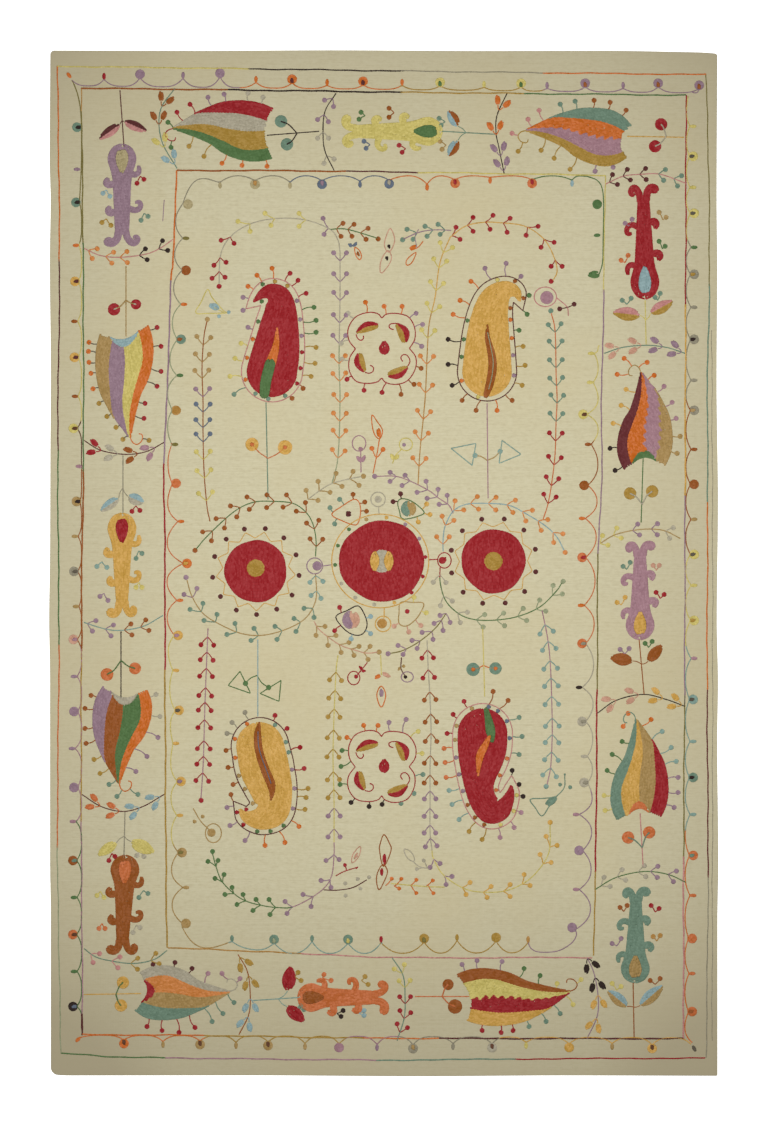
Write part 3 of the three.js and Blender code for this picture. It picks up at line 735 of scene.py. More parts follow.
crossVines = [
    # yarn, path, leaf pairs (yarn, joint, leans back), bud pairs (yarn, places), rise of the buds
    ("pink", [(84, 248), (100, 255), (119, 257), (145, 254), (160, 248), (173, 239)], [],
        [("apricot", (96, 113, 127)), ("nearBlack", (147, 166))], 7.0),
    ("maroon", [(84, 440), (101, 450), (126, 454), (147, 451), (164, 442)],
        [("crimson", 101, 1), ("silver", 118, 1), ("rust", 137, 1), ("mauve", 155, 1)], [], 0),
    ("lightTeal", [(84, 622), (103, 628), (120, 630), (143, 626), (163, 615)], [],
        [("lavender", (95, 112)), ("rust", (131, 148))], 7.0),
    ("maroon", [(82, 794), (101, 806), (123, 811), (143, 806), (164, 794)],
        [("coral", 100, 1), ("coral", 119, 1), ("lightBlue", 140, 1), ("lightBlue", 160, 1)], [], 0),
    ("teal", [(84, 948), (95, 956), (109, 960), (133, 963), (154, 959), (167, 950)], [],
        [("pink", (98, 119)), ("mustard", (138, 158))], 7.0),
    ("rust", [(238, 954), (247, 970), (250, 989), (249, 1013), (239, 1034)],
        [("mustard", 957, 0), ("mustard", 976, 0), ("lightBlue", 999, 0), ("lightBlue", 1017, 0)], [], 0),
    ("teal", [(392, 957), (403, 975), (405, 997), (404, 1018), (397, 1040)], [],
        [("paleYellow", (966, 980)), ("crimson", (996, 1011, 1025))], -7.0),
    ("lavender", [(587, 957), (594, 973), (598, 996), (597, 1016), (587, 1038)],
        [("nearBlack", 958, 0), ("nearBlack", 977, 0), ("gold", 995, 0), ("gold", 1018, 0)], [], 0),
    ("green", [(595, 889), (616, 877), (644, 871), (668, 874), (686, 882)], [],
        [("silver", (608, 624, 645)), ("lavender", (658, 675))], 7.0),
    ("nearBlack", [(597, 713), (616, 700), (643, 694), (666, 699), (685, 706)],
        [("salmon", 616, 1), ("salmon", 638, 1), ("gold", 663, 1), ("gold", 682, 1)], [], 0),
    ("tan", [(600, 543), (616, 534), (641, 529), (663, 530), (680, 538)], [],
        [("paleYellow", (606, 620)), ("lavender", (639, 657)), ("silver", (671,))], 6.0),
    ("teal", [(604, 353), (623, 347), (646, 345), (666, 347), (685, 353)],
        [("salmon", 619, 1), ("salmon", 641, 1), ("lavender", 662, 1), ("lavender", 682, 1)], [], 0),
    ("pink", [(605, 184), (623, 176), (641, 174), (660, 174), (686, 183)], [],
        [("maroon", (616, 629, 646)), ("teal", (664, 680))], 6.0),
    ("nearBlack", [(507, 93), (497, 115), (496, 133), (499, 148), (504, 173)],
        [("orange", 110, 1), ("orange", 134, 1), ("lavender", 156, 1), ("lavender", 171, 1)], [], 0),
    ("nearBlack", [(336, 93), (325, 111), (323, 133), (325, 151), (334, 170)], [],
        [("lavender", (104, 121)), ("silver", (138, 161))], 6.0),
    ("teal", [(175, 88), (162, 106), (159, 123), (163, 144), (177, 168)],
        [("rust", 106, 1), ("rust", 124, 1), ("paleYellow", 147, 1), ("lightBlue", 164, 1)], [], 0),
]


def sewCrossVines():
    for yarn, points, leaves, buds, rise in crossVines:
        path = openLine("crossVines", yarn, points, "fine")
        leafPairs("crossVines", path, leaves)
        if buds:
            twins("crossVines", path, buds, spread=5.5, rise=rise)


# Field scallop: loops inside the inner frame, with buds that point inwards

fieldScallop = {
    "top": {"axis": 0, "toward": 1, "hug": lambda x: fair([(183, 181), (205, 178), (240, 175.5),
            (600, 175.6)], x),
        "start": (183, 203), "end": (587, 176),
        "buds": [("khaki", 220, 185), ("khaki", 255, 184, "ochre"), ("khaki", 290, 185),
            ("slate", 322, 184, "lavender"), ("slate", 360, 184), ("slate", 389, 183.5, "silver"),
            ("orange", 427, 187), ("coral", 455, 183, "crimson"), ("orange", 490, 180),
            ("coral", 532, 183, "crimson"), ("lightBlue", 572, 183)],
        "line": [("grey", 290), ("slate", 389), ("orange", 532), ("green", 590)]},
    "left": {"axis": 1, "toward": 1, "hug": lambda y: fair([(186, 181), (215, 176), (260, 174.5), (330, 172),
            (400, 167.5), (470, 168), (520, 167.5), (600, 167), (700, 170), (800, 171), (900, 172),
            (945, 174)], y),
        "start": (183, 203), "end": None,
        "buds": [("olive", 186, 238), ("rust", 186, 270, ""), ("orange", 184, 304),
            ("teal", 181, 339, "rust"), ("green", 180, 375), ("ochre", 176, 410, ""), ("olive", 175, 444),
            ("coral", 176, 483, ""), ("orange", 181, 521), ("orange", 187, 563, "gold"), ("orange", 180, 600),
            ("gold", 178, 635, "mauve"), ("gold", 176, 670), ("gold", 179, 710, "darkGrey"),
            ("gold", 176, 743), ("gold", 181, 781, "lavender"), ("gold", 180, 815),
            ("tan", 182, 852, "olive"), ("tan", 186, 887), ("tan", 186, 923, "")],
        "line": [("grey", 300), ("sage", 444), ("coral", 634), ("paleYellow", 845), ("tan", 937)]},
    "bottom": {"axis": 0, "toward": -1, "hug": lambda x: fair([(180, 947), (240, 948), (290, 953),
            (600, 952)], x),
        "start": (182, 926), "end": None,
        "buds": [("teal", 232, 938), ("teal", 274, 939, "sage"), ("teal", 312, 938),
            ("teal", 348, 939, "paleYellow"), ("crimson", 381, 939), ("mustard", 424, 938, "olive"),
            ("mustard", 457, 937), ("mustard", 496, 937, ""), ("ochre", 528, 939)],
        "line": [("tan", 229), ("lightTeal", 381), ("mustard", 547)]},
    "right": {"axis": 1, "toward": -1, "hug": lambda y: fair([(345, 598), (440, 598), (500, 597),
            (600, 594.5), (700, 593), (800, 592), (930, 590)], y),
        "start": (599, 345), "end": (577, 928),
        "buds": [("paleYellow", 591, 353), ("paleYellow", 590, 382), ("paleYellow", 583, 414, "brown"),
            ("rust", 588, 444), ("rust", 584, 485, ""), ("orange", 582, 518), ("coral", 582, 557, "crimson"),
            ("orange", 581, 605), ("coral", 582, 643, "grey"), ("nearBlack", 579, 687),
            ("silver", 582, 721, "grey"), ("silver", 584, 756), ("silver", 584, 782, "grey"),
            ("mauve", 576, 814), ("lavender", 579, 850, ""), ("mauve", 576, 889)],
        "line": [("paleYellow", 440), ("rust", 485), ("coral", 643), ("silver", 790), ("lavender", 930)]},
}


def sewScallop():
    piece = "fieldScallop"
    for side, loop in fieldScallop.items():
        budLoop(piece, loop, fullness=2.2, least=10)
        print("field scallop", side, len(loop["buds"]), "buds")
    bud(piece, "khaki", 188, 204, (1, 0), "")
    openLine(piece, "green", [(587, 176), (597, 180), (602, 188), (603.5, 204), (603, 240), (602.5, 262),
                              (599, 274)], "fine")
    bud(piece, "green", 597, 204, (-1, 0), "")
    bud(piece, "green", 597, 235, (-1, 0))
    leaf(piece, "green", (600, 274), (587, 274.5), 3.6, belly=0.4)
    openLine(piece, "lavender", [(528, 942), (531, 948), (539, 951.5), (557, 950.6), (571, 943), (576.5, 934),
                                 (574, 928)], "fine")
    dot(piece, "lavender", 572, 927, budSize["big"])


# Field vines: the buds lie ahead of their joints, so every path runs towards its tip

fieldVines = [
    # line: yarns, and the share of the path where each ends; pairs: by place along the rug; forks: where both
    # buds are; even: yarn, first and last share of the path, count; end: the last bud
    {"line": [("sage", 0.6), ("silver", 1)], "path": [(332, 483), (338, 456), (340, 400), (339, 359),
        (340, 298), (340, 250)],
        "pairs": [("apricot", (449, 430, 413, 394, 373, 355)), ("lavender", (335, 314, 292, 273, 253))],
        "spread": 6.4},
    {"line": [("silver", 1)], "path": [(340, 252), (338, 240), (330, 229), (307, 220), (282, 218), (255, 222),
        (233, 234), (221, 253), (219, 284)],
        "forks": {"lavender": [(324, 234, 323, 218)],
        "paleYellow": [(299, 226, 299, 213), (271, 225, 265, 213), (250, 231, 238, 221)],
        "crimson": [(234, 243, 221, 240), (226, 262, 214, 265), (225, 277, 212, 278)]},
        "end": ("crimson", 219, 286)},
    {"line": [("green", 1)], "path": [(330, 229), (347, 229), (378, 238)],
        "forks": {"rust": [(341, 236, 343, 223), (352, 236, 354, 224), (366, 239, 368, 228)]},
        "end": ("rust", 378, 238.6)},
    {"line": [("ochre", 0.7), ("gold", 1)], "path": [(418, 484), (420, 450), (425, 399), (427, 356),
        (429, 324), (435, 297), (440, 262), (450, 237)],
        "pairs": [("apricot", (458, 432, 410, 384, 356)), ("paleYellow", (330, 304, 282, 259, 244))],
        "spread": 6.6},
    {"line": [("gold", 1)], "path": [(450, 237), (465, 226), (483, 222), (501, 222.5), (525, 226), (544, 239),
        (554, 257), (557, 271), (553, 280)],
        "forks": {"crimson": [(456, 227, 460, 239), (473, 217, 473, 231), (493, 215, 490, 229),
        (510, 218, 507, 232), (538, 226, 526, 235), (554, 242, 541, 247), (562, 266, 551, 266)]},
        "end": ("crimson", 551, 281)},
    {"line": [("lavender", 1)], "path": [(451, 230), (434, 229.6), (419, 232), (403, 239)],
        "forks": {"teal": [(438, 224, 440, 234), (425, 226, 427, 236), (407, 229, 413, 239)]},
        "end": ("teal", 402.5, 239.5)},
    {"line": [("rust", 1)], "path": [(210, 521), (207, 506), (204, 470), (203, 430), (203, 400), (202, 367),
        (204, 336), (207, 321)],
        "pairs": [("paleYellow", (492, 470, 451)), ("slate", (434, 419, 404)), ("lavender", (388,)),
        ("tan", (370, 354, 337))], "spread": 7.0, "end": ("tan", 207.3, 319)},
    {"line": [("coral", 1)], "path": [(543, 519), (548, 503), (552, 480), (555, 453), (556, 421), (557, 399),
        (556, 374), (555, 331), (551, 312)],
        "pairs": [("crimson", (495, 477, 456, 433)), ("teal", (413, 395, 378, 359, 341, 324))], "spread": 6.4,
        "end": ("teal", 550.7, 310.5)},
    {"line": [("mauve", 1)], "path": [(208, 628), (205, 703), (203.4, 759), (201, 798)],
        "pairs": [("crimson", (645, 660, 676, 695, 710, 727.5, 748, 764, 781))], "spread": 6.4,
        "end": ("crimson", 201, 800)},
    {"line": [("mauve", 1)], "path": [(542, 610), (548, 641), (550.6, 671), (552, 716), (552, 738),
        (550.6, 766), (547, 784)],
        "pairs": [("lightTeal", (632, 649, 668, 686, 704, 726, 742, 759, 775))], "spread": 6.8,
        "end": ("lightTeal", 546, 786)},
    {"line": [("paleYellow", 1)], "path": [(338, 655), (336, 671), (334, 716), (333, 757), (334, 799),
        (334, 842)],
        "pairs": [("mustard", (680, 698, 717, 737, 757, 779, 797)), ("lavender", (816, 837))], "spread": 6.0},
    {"line": [("mauve", 0.45), ("green", 1)],
        "path": [(334, 842), (334, 854), (331, 877), (319, 892), (294, 906), (277, 907), (262, 905),
        (247, 901), (235, 894), (222, 881), (216, 866), (212.5, 853)],
        "forks": {"lavender": [(339, 859, 326, 860), (331, 887, 321, 880), (311, 906, 303, 894),
        (287, 913, 285, 901)], "green": [(270, 914, 269, 899), (253, 910, 256, 899), (237, 904, 243, 894),
        (225, 894, 232, 887), (215, 878, 224, 874), (208, 861, 218, 860)]},
        "end": ("green", 212.5, 851)},
    {"line": [("silver", 1)], "path": [(427, 640), (428, 666), (430, 699), (431, 733), (430, 766), (430, 799),
        (430, 832), (432, 850)],
        "pairs": [("crimson", (657, 677)), ("rust", (700, 722, 741, 763, 783)),
        ("lavender", (799, 816, 832, 846))],
        "spread": 5.8},
    {"line": [("paleYellow", 1)], "path": [(432, 850), (433, 857), (442, 873), (458, 885), (475, 891),
        (502, 891), (523, 883), (538, 870), (549, 851), (550, 824)],
        "forks": {"lavender": [(440, 863, 430, 867), (452, 876, 446, 884)],
        "gold": [(470, 882, 466, 894), (491, 886, 487, 897), (510, 884, 510, 896), (524, 874, 530, 885),
        (540, 854, 551, 862), (546, 836, 557, 845)]},
        "end": ("gold", 550, 822)},
    {"piece": "medallionVines", "line": [("green", 1)],
        "path": [(315.5, 556), (316, 540), (313, 524), (306, 512), (293, 503), (273, 501), (253, 502),
        (233, 512), (207, 536), (196, 549)],
        "even": [("rust", 0.06, 0.86, 9)], "end": ("rust", 195, 550)},
    {"piece": "medallionVines", "line": [("tan", 1)],
        "path": [(315.5, 574), (316.5, 594), (313, 607), (303, 620), (283, 630), (261, 635), (241, 633),
        (220, 624), (203, 613), (192, 596), (187, 580)],
        "forks": {"lightTeal": [(310, 582, 323, 581), (311, 595, 321, 598)],
        "teal": [(304, 608, 314, 617), (294, 618, 296, 631), (275, 626, 277, 639), (254, 628, 251, 640),
        (235, 623, 227, 634), (217, 614, 204, 620), (203, 603, 190, 609)],
        "lavender": [(197, 588, 184, 594)]},
        "end": ("lavender", 186, 577)},
    {"piece": "medallionVines", "line": [("lightBlue", 1)],
        "path": [(443, 551), (443, 540), (445, 526), (453, 511), (466, 504), (486, 503), (509, 505),
        (527, 514), (546, 526), (557, 537), (564, 550)],
        "even": [("apricot", 0.05, 0.88, 9)], "end": ("apricot", 565, 552)},
    {"piece": "medallionVines", "line": [("crimson", 0.07), ("green", 1)],
        "path": [(440, 567), (440, 581), (444, 597), (452, 608), (466, 617), (486, 620), (514, 617),
        (539, 607), (556, 591), (562, 582)],
        "even": [("silver", 0.05, 0.3, 3), ("sage", 0.42, 0.9, 5)], "end": ("sage", 563, 581)},
    {"piece": "medallionVines", "line": [("silver", 1)],
        "path": [(308, 499), (320, 490), (331, 483.5), (347, 479), (362, 476)],
        "forks": {"tan": [(306, 490, 318, 500), (318, 481, 330, 492), (336, 473, 342, 486),
        (353, 471, 359, 485)]}, "end": ("tan", 363.4, 475.8)},
    {"piece": "medallionVines", "line": [("mauve", 1)],
        "path": [(453, 513), (449, 505), (439, 498), (430, 491), (413, 482), (396, 476), (376, 476)],
        "forks": {"lavender": [(447, 495, 439, 504), (438, 489, 427, 498), (426, 481, 417, 492),
        (405, 475, 402, 485), (390, 472, 390, 481)]}, "end": ("lavender", 374.6, 476)},
    {"piece": "medallionVines", "line": [("salmon", 1)],
        "path": [(314, 621), (320, 630), (339, 644), (356, 650), (367, 652.7), (378, 651.7)],
        "forks": {"tan": [(325, 626, 316, 635), (336, 635, 328, 645), (349, 642, 341, 652),
        (359, 646, 354, 655), (370, 646, 368, 659)]}, "end": ("tan", 379, 651.7)},
    {"piece": "medallionVines", "line": [("olive", 1)],
        "path": [(446, 613), (436, 627), (420, 640.6), (403, 650), (388, 653.4)],
        "forks": {"lavender": [(440, 615, 450, 622), (434, 623, 443, 630), (422, 632, 433, 639),
        (412, 640, 417, 648), (398, 645, 403, 654)]}, "end": ("lavender", 388, 653.4)},
]


def sewFieldVines():
    for vine in fieldVines:
        piece = vine.get("piece", "fieldArches")
        path = smooth(vine["path"])
        start = 0
        for yarn, share in vine["line"]:
            stop = int(share * len(path))
            sew(piece, yarn, path[start:stop], "fine")
            start = max(stop - 1, 0)
        twins(piece, path, vine.get("pairs", ()), vine.get("spread", 6.3))
        forkedBuds(piece, path, vine.get("forks", {}))
        for yarn, first, last, count in vine.get("even", ()):
            for share in np.linspace(first, last, count):
                pair(piece, path, int(share * (len(path) - 1)), yarn, 6.3, 7.5)
        if "end" in vine:
            dot(piece, *vine["end"], 2.8)
    print("field vines", len(fieldVines))


# Paisleys: a drop with a hooked tip, a flame over its middle, a line all round with buds on it and beyond it

paisleys = [
    {"yarn": "crimson", "line": "pink", "gap": 5.6,
        "spine": [(272, 371, 25), (276, 351, 23.3), (279, 328, 19.5), (280.5, 309, 15.4), (278, 297, 12.5),
        (270.5, 291.5, 8), (262.5, 293.5, 4.6), (254, 301, 1)],
        "flames": [("orange", [(277, 328, 0.7), (276, 345, 3), (271, 362, 5)]),
        ("green", [(270, 364, 5), (266, 380, 5), (264.5, 393, 4.6)])],
        "ring": {"mustard": [(275, 279), (288, 285.5)], "lavender": [(297, 301), (302, 319.5), (304.5, 335)],
        "crimson": [(303, 352), (300.4, 367.5), (294, 382)],
        "teal": [(284, 393), (267.7, 399.5), (251.5, 396.5)],
        "orange": [(244, 378), (247.4, 357.5), (253.4, 339)],
        "green": [(260, 321.5), (262.5, 303), (262.5, 285)]},
        "pins": {"orange": [(248, 286), (257, 275), (272, 268)],
        "crimson": [(290, 273), (298, 280), (306, 293)],
        "green": [(314, 307), (316, 320), (316, 332)], "mustard": [(316, 347), (315, 363), (311, 376)],
        "rust": [(303, 388), (292, 398)], "lavender": [(243, 297), (243, 310), (248, 327)],
        "paleYellow": [(241, 343), (235, 358), (230, 376)], "teal": [(234, 394)]},
        "stalk": ("teal", (266, 402), (268, 499)), "joint": ("coral", 268, 455),
        "balls": [("gold", 252, 444, 6.5), ("gold", 285, 447, 7)]},
    {"yarn": "gold", "line": "maroon", "gap": 5.2,
        "spine": [(487, 371, 24.5), (487.5, 351, 22.7), (488.5, 328, 20), (491, 310, 17), (496, 298, 14.5),
        (503.5, 291, 10.5), (511, 289.5, 7.2), (517, 293, 4.4), (519.5, 300, 1.2)],
        "flames": [("rust", [(487.3, 325, 0.6), (487.5, 338, 2.2), (491, 352, 3.2), (492.5, 366, 3.8),
        (490, 382, 3.6), (486, 395, 2.4)]),],
        "vein": ("sage", [(487.5, 332), (490.5, 346), (493, 360), (492, 375), (488.5, 389)]),
        "ring": {"rust": [(513.5, 282.6), (521, 297), (511.8, 305)],
        "orange": [(506, 319.7), (509.7, 338), (462, 380)],
        "lavender": [(512.8, 355), (513.7, 374.3)], "green": [(460, 356), (462, 338.7), (467, 320.7)],
        "paleYellow": [(476, 397.5), (497, 277.5)]},
        "pins": {"lavender": [(485, 268), (506, 263), (521, 276)],
        "orange": [(471, 281), (460, 300), (453, 314), (497, 410)],
        "nearBlack": [(448, 339), (448, 364), (452, 385)], "green": [(529, 295), (527, 314), (519, 330)],
        "mustard": [(523, 346), (525, 365), (522, 385)], "rust": [(462, 400), (476, 410), (512, 400)]},
        "stalk": ("mauve", (487, 403), (488, 498)), "joint": ("tan", 487, 460),
        "triangles": [("lightTeal", [(451, 448), (476, 443), (472, 465)], (475, 455)),
        ("lightTeal", [(502, 440), (521, 454), (499, 463)], (500, 451))]},
    {"yarn": "gold", "line": "maroon", "gap": 5.4,
        "spine": [(260, 746, 23.5), (264.5, 767, 24.3), (270.5, 786, 21.5), (273, 800, 18.5),
        (271, 811, 16.5), (262, 817.5, 12), (252, 818, 8), (244.5, 815, 4.6), (240, 809.5, 1.2)],
        "flames": [("rust", [(259.2, 722.5, 0.8), (257.5, 735, 3.2), (259.5, 752, 3.6), (265, 769, 3.9),
        (270.5, 782, 4.0), (272, 791, 2.5), (270.8, 799, 0.7)])],
        "vein": ("slate", [(258, 731), (258.5, 745), (262, 758), (267, 771), (271, 783)]),
        "ring": {"orange": [(247.8, 721.5), (237, 738), (235.5, 757)],
        "teal": [(273.5, 727.5), (284.6, 741.5), (288.6, 752)],
        "lavender": [(291.6, 769.5), (294.8, 788), (292.7, 807)],
        "green": [(283.7, 824.5), (271, 833), (256.4, 832)],
        "crimson": [(243.6, 824), (236.8, 811.5), (249.4, 815)],
        "tan": [(253.8, 803), (246.2, 787.6), (238.3, 775)]},
        "pins": {"grey": [(245, 712), (232, 722), (227, 733)],
        "rust": [(226, 750), (228, 767), (233, 784), (231, 794)],
        "lavender": [(227, 807), (230, 825), (245, 840)], "orange": [(265, 845), (285, 842), (299, 826)],
        "crimson": [(275, 715), (287, 728), (300, 747), (304, 768)],
        "mustard": [(308, 788), (306, 797), (305, 809)]},
        "stalk": ("lightBlue", (257.8, 639), (257.8, 716)), "joint": ("green", 257, 675),
        "triangles": [("green", [(240, 671), (228, 685), (250.7, 693)], (245.4, 683)),
        ("green", [(281, 680), (279, 701), (260, 693)], (268.6, 687))]},
    {"yarn": "crimson", "line": "pink", "gap": 5.4,
        "spine": [(482.5, 733, 24.5), (482, 748, 24.2), (480.5, 762, 21.5), (479, 776, 17),
        (479.5, 789, 13.8), (483.5, 801, 13.2), (491, 810, 13.2), (500.5, 809.5, 10), (507, 801, 6.5),
        (510.5, 792, 3.6), (511, 786, 1.2)],
        "flames": [("green", [(486, 709, 2), (489, 722, 3.8), (490.5, 731, 4.4), (492, 740, 2)]),
        ("orange", [(489.5, 736, 1.2), (485, 745, 3), (480, 755, 3.6), (478.5, 766, 2), (478, 775, 0.6)])],
        "ring": {"slate": [(488.6, 702), (502, 707), (509.8, 720.6), (510.2, 738)],
        "coral": [(505, 757), (497.7, 774), (495.5, 790)],
        "paleYellow": [(513, 795), (509.7, 809), (501, 824)],
        "rust": [(464.7, 806), (473, 818.7), (483, 827.5)],
        "lavender": [(459.5, 791.5), (456, 774.7), (454, 757)],
        "tan": [(454, 739.5), (458, 725), (470.8, 707)]},
        "pins": {"rust": [(493, 691), (508, 700)], "crimson": [(464, 701), (453, 714), (447, 733)],
        "teal": [(519, 717), (522, 736), (519, 754)], "nearBlack": [(512, 770), (519, 784), (523, 796)],
        "mauve": [(521, 812), (514, 827), (500, 837)], "mustard": [(482, 839), (469, 831)],
        "lightTeal": [(459, 819), (452, 804), (449, 790)], "coral": [(446, 777), (445, 762), (444, 748)]},
        "stalk": ("paleYellow", (482.6, 626), (484.6, 696)), "joint": ("orange", 483.4, 662),
        "balls": [("teal", 473, 669, 6.5), ("teal", 495.4, 668, 6)]},
]


# how far the line runs past the hook, the least share of the gap it keeps, and the ring's share of the gap
paisleyLine = {"point": 1.7, "clear": 0.86, "ringAt": 0.5}


def around(spine, gap):
    # the line at one distance all round a swept shape, drawn out to a point at the hook
    s = smooth(spine, step=1.0)
    side, way = across(s), heading(s)
    reach = s[:, 2:3] + gap
    turn = np.linspace(0, math.pi, 26)[:, None]
    end, aside = s[-1, :2], side[-1] * reach[-1]
    point = end + way[-1] * reach[-1] * paisleyLine["point"]
    tip = np.vstack([smooth([end - aside, point]), smooth([point, end + aside])])
    tail = s[0, :2] + (side[0] * np.cos(turn) - way[0] * np.sin(turn)) * reach[0]
    loop = np.vstack([s[:, :2] - side * reach, tip, (s[:, :2] + side * reach)[::-1], tail])
    edge = np.vstack([s[:, :2] - side * s[:, 2:3], s[:, :2] + side * s[:, 2:3]])
    away = np.linalg.norm(loop[:, None] - edge[None], axis=2).min(axis=1)
    within = (np.linalg.norm(loop[:, None] - s[None, :, :2], axis=2) - s[None, :, 2]).min(axis=1)
    loop = loop[(away > gap * paisleyLine["clear"]) & (within > 0)]
    return np.vstack([loop, loop[:1]])


def sewPaisleys():
    piece = "paisleys"
    for p in paisleys:
        sweep(piece, p["yarn"], p["spine"])
        for number, (yarn, spine) in enumerate(p["flames"]):
            sweep(piece, yarn, spine, level=1 + number)
        if "vein" in p:
            openLine(piece, *p["vein"], "hair", level=2)
        loop = around(p["spine"], p["gap"])
        sew(piece, p["line"], loop, "fine")
        inner = around(p["spine"], p["gap"] * paisleyLine["ringAt"])
        for yarn, places in p["ring"].items():
            for x, y in places:
                dot(piece, yarn, *inner[nearest(inner, x, y)], 2.3, 1)
        for yarn, places in p["pins"].items():
            for x, y in places:
                pin(piece, yarn, x, y, loop)
        yarn, start, stop = p["stalk"]
        openLine(piece, yarn, [start, stop], "fine")
        jointYarn, jx, jy = p["joint"]
        for yarn, x, y, r in p.get("balls", ()):
            dot(piece, yarn, x, y, r)
            stem(piece, jointYarn, (jx, jy + 3), (x, y), 0.06 if x > jx else -0.06)
            dot(piece, jointYarn, x, y, 2.2, 1)
        for yarn, corners, (x, y) in p.get("triangles", ()):
            sides = [smooth([a, b]) for a, b in zip(corners, corners[1:] + corners[:1])]
            sew(piece, yarn, np.vstack(sides), "fine")
            stem(piece, jointYarn, (jx, jy), (x, y), 0.1)
            dot(piece, yarn, x, y, 2.9)
    print("paisleys", len(paisleys))


# Quatrefoils: a four lobed line, a comma in each lobe and a bell in the middle

lobe = [(-27, 0), (-33, -9), (-33, -21), (-26, -32), (-14, -35.5), (-4, -34), (0, -29.5)]
commas = [
    # tail, tip, half width, bow, then the tail's curl, all from the middle; crimson outside, mustard inside
    ((-26, -15), (-3, -23), 4.8, -2.6, [(-26, -14), (-24.5, -10), (-21, -7.8), (-18.2, -10.3),
        (-18.8, -12.6)]),
    ((14, -25), (23, -5), 5.6, -3.0, [(15, -25), (9, -24.6), (6.8, -22.5), (8, -19.8), (11.5, -18.8)]),
    ((26, 18), (5, 27), 5.2, -2.4, [(25.5, 18), (28, 13), (26, 8), (22.5, 6), (19, 8), (19, 10.8),
        (20.7, 13)]),
    ((-17, 24), (-23, 4), 5.2, -2.4, [(-17, 24), (-12.6, 25), (-8.8, 22.7), (-8.8, 18.5), (-12, 17)]),
]
quatrefoils = [
    {"middle": (382, 348), "pins": {"orange": [(365.5, 302), (384, 306), (402, 306)],
        "lavender": [(416, 313), (422.5, 324), (421.6, 346)],
        "rust": [(421, 368), (414, 384), (401, 394)],
        "crimson": [(382, 392), (364, 390), (347, 379)],
        "silver": [(348, 313), (341, 343), (342, 359)]}},
    {"middle": (381.8, 766), "pins": {"orange": [(363.6, 725), (378, 725), (347, 737)],
        "lavender": [(389, 722), (406, 719)],
        "green": [(342, 750), (341, 766), (340, 784)],
        "nearBlack": [(351, 802), (369, 806), (382, 804)],
        "paleYellow": [(418, 731), (422, 753)],
        "teal": [(423, 774), (414, 793), (401, 803)]}},
]


def sewQuatrefoils():
    piece = "quatrefoils"
    for flower in quatrefoils:
        middle = np.array(flower["middle"], float)
        rim = []
        for flipX, flipY, back in ((1, 1, False), (-1, 1, True), (-1, -1, False), (1, -1, True)):
            part = smooth(np.array(lobe, float) * (flipX, flipY))
            rim.append(middle + (part[::-1] if back else part))
        rim = np.vstack(rim)
        rim += 0.6 * np.stack([np.sin(rim[:, 1] * 0.11), np.sin(rim[:, 0] * 0.13)], axis=1)
        sew(piece, "crimson", rim, "fine")
        for tail, tip, half, bow, curl in commas:
            leaf(piece, "crimson", middle + tail, middle + tip, half, 0.55, 0.62, "mustard", bow=bow)
            openLine(piece, "crimson", [middle + c for c in curl], "fine")
        mx, my = middle
        bell = [(mx + 2.4, my - 5.5, 2.0), (mx + 2.4, my - 2.5, 4.6), (mx + 2.2, my + 0.6, 5.2)]
        sweep(piece, "crimson", bell)
        for yarn, places in flower["pins"].items():
            for x, y in places:
                pin(piece, yarn, x, y, rim)
    print("quatrefoils", len(quatrefoils))


# Medallions: a disc worked in rays with a round centre, a star or a ring round it and buds beyond

medallions = [
    {"middle": (255.7, 570.7), "radius": (31, 31), "core": ("mustard", 9), "lift": 3.0, "star": 13,
        "turn": 0.1},
    {"middle": (381.7, 560.7), "radius": (42.5, 40.5), "core": ("silver", 11.6), "star": 0, "turn": 0.0},
    {"middle": (493.4, 560.7), "radius": (32, 32), "core": ("mustard", 9.3), "star": 12, "turn": 0.25},
]
star = {"inside": 2, "points": 40, "buds": 43.5}   # how far out: past the disc's rim, and from the middle
middleRing = {"x": 380.2, "y": 560.6, "rx": 48.5, "ry": 46.8,
    "buds": ["tan", "gold", "lavender", "lavender", "crimson", "crimson", "crimson", "gold", "silver",
        "silver", "silver", "green", "green", "green"], "turn": -108}


def oval(x, y, rx, ry, count=0, start=0.0):
    turn = np.linspace(0, 2 * math.pi, count or int(rx * 5 + 10)) + start
    return np.stack([x + rx * np.cos(turn), y + ry * np.sin(turn)], axis=1)


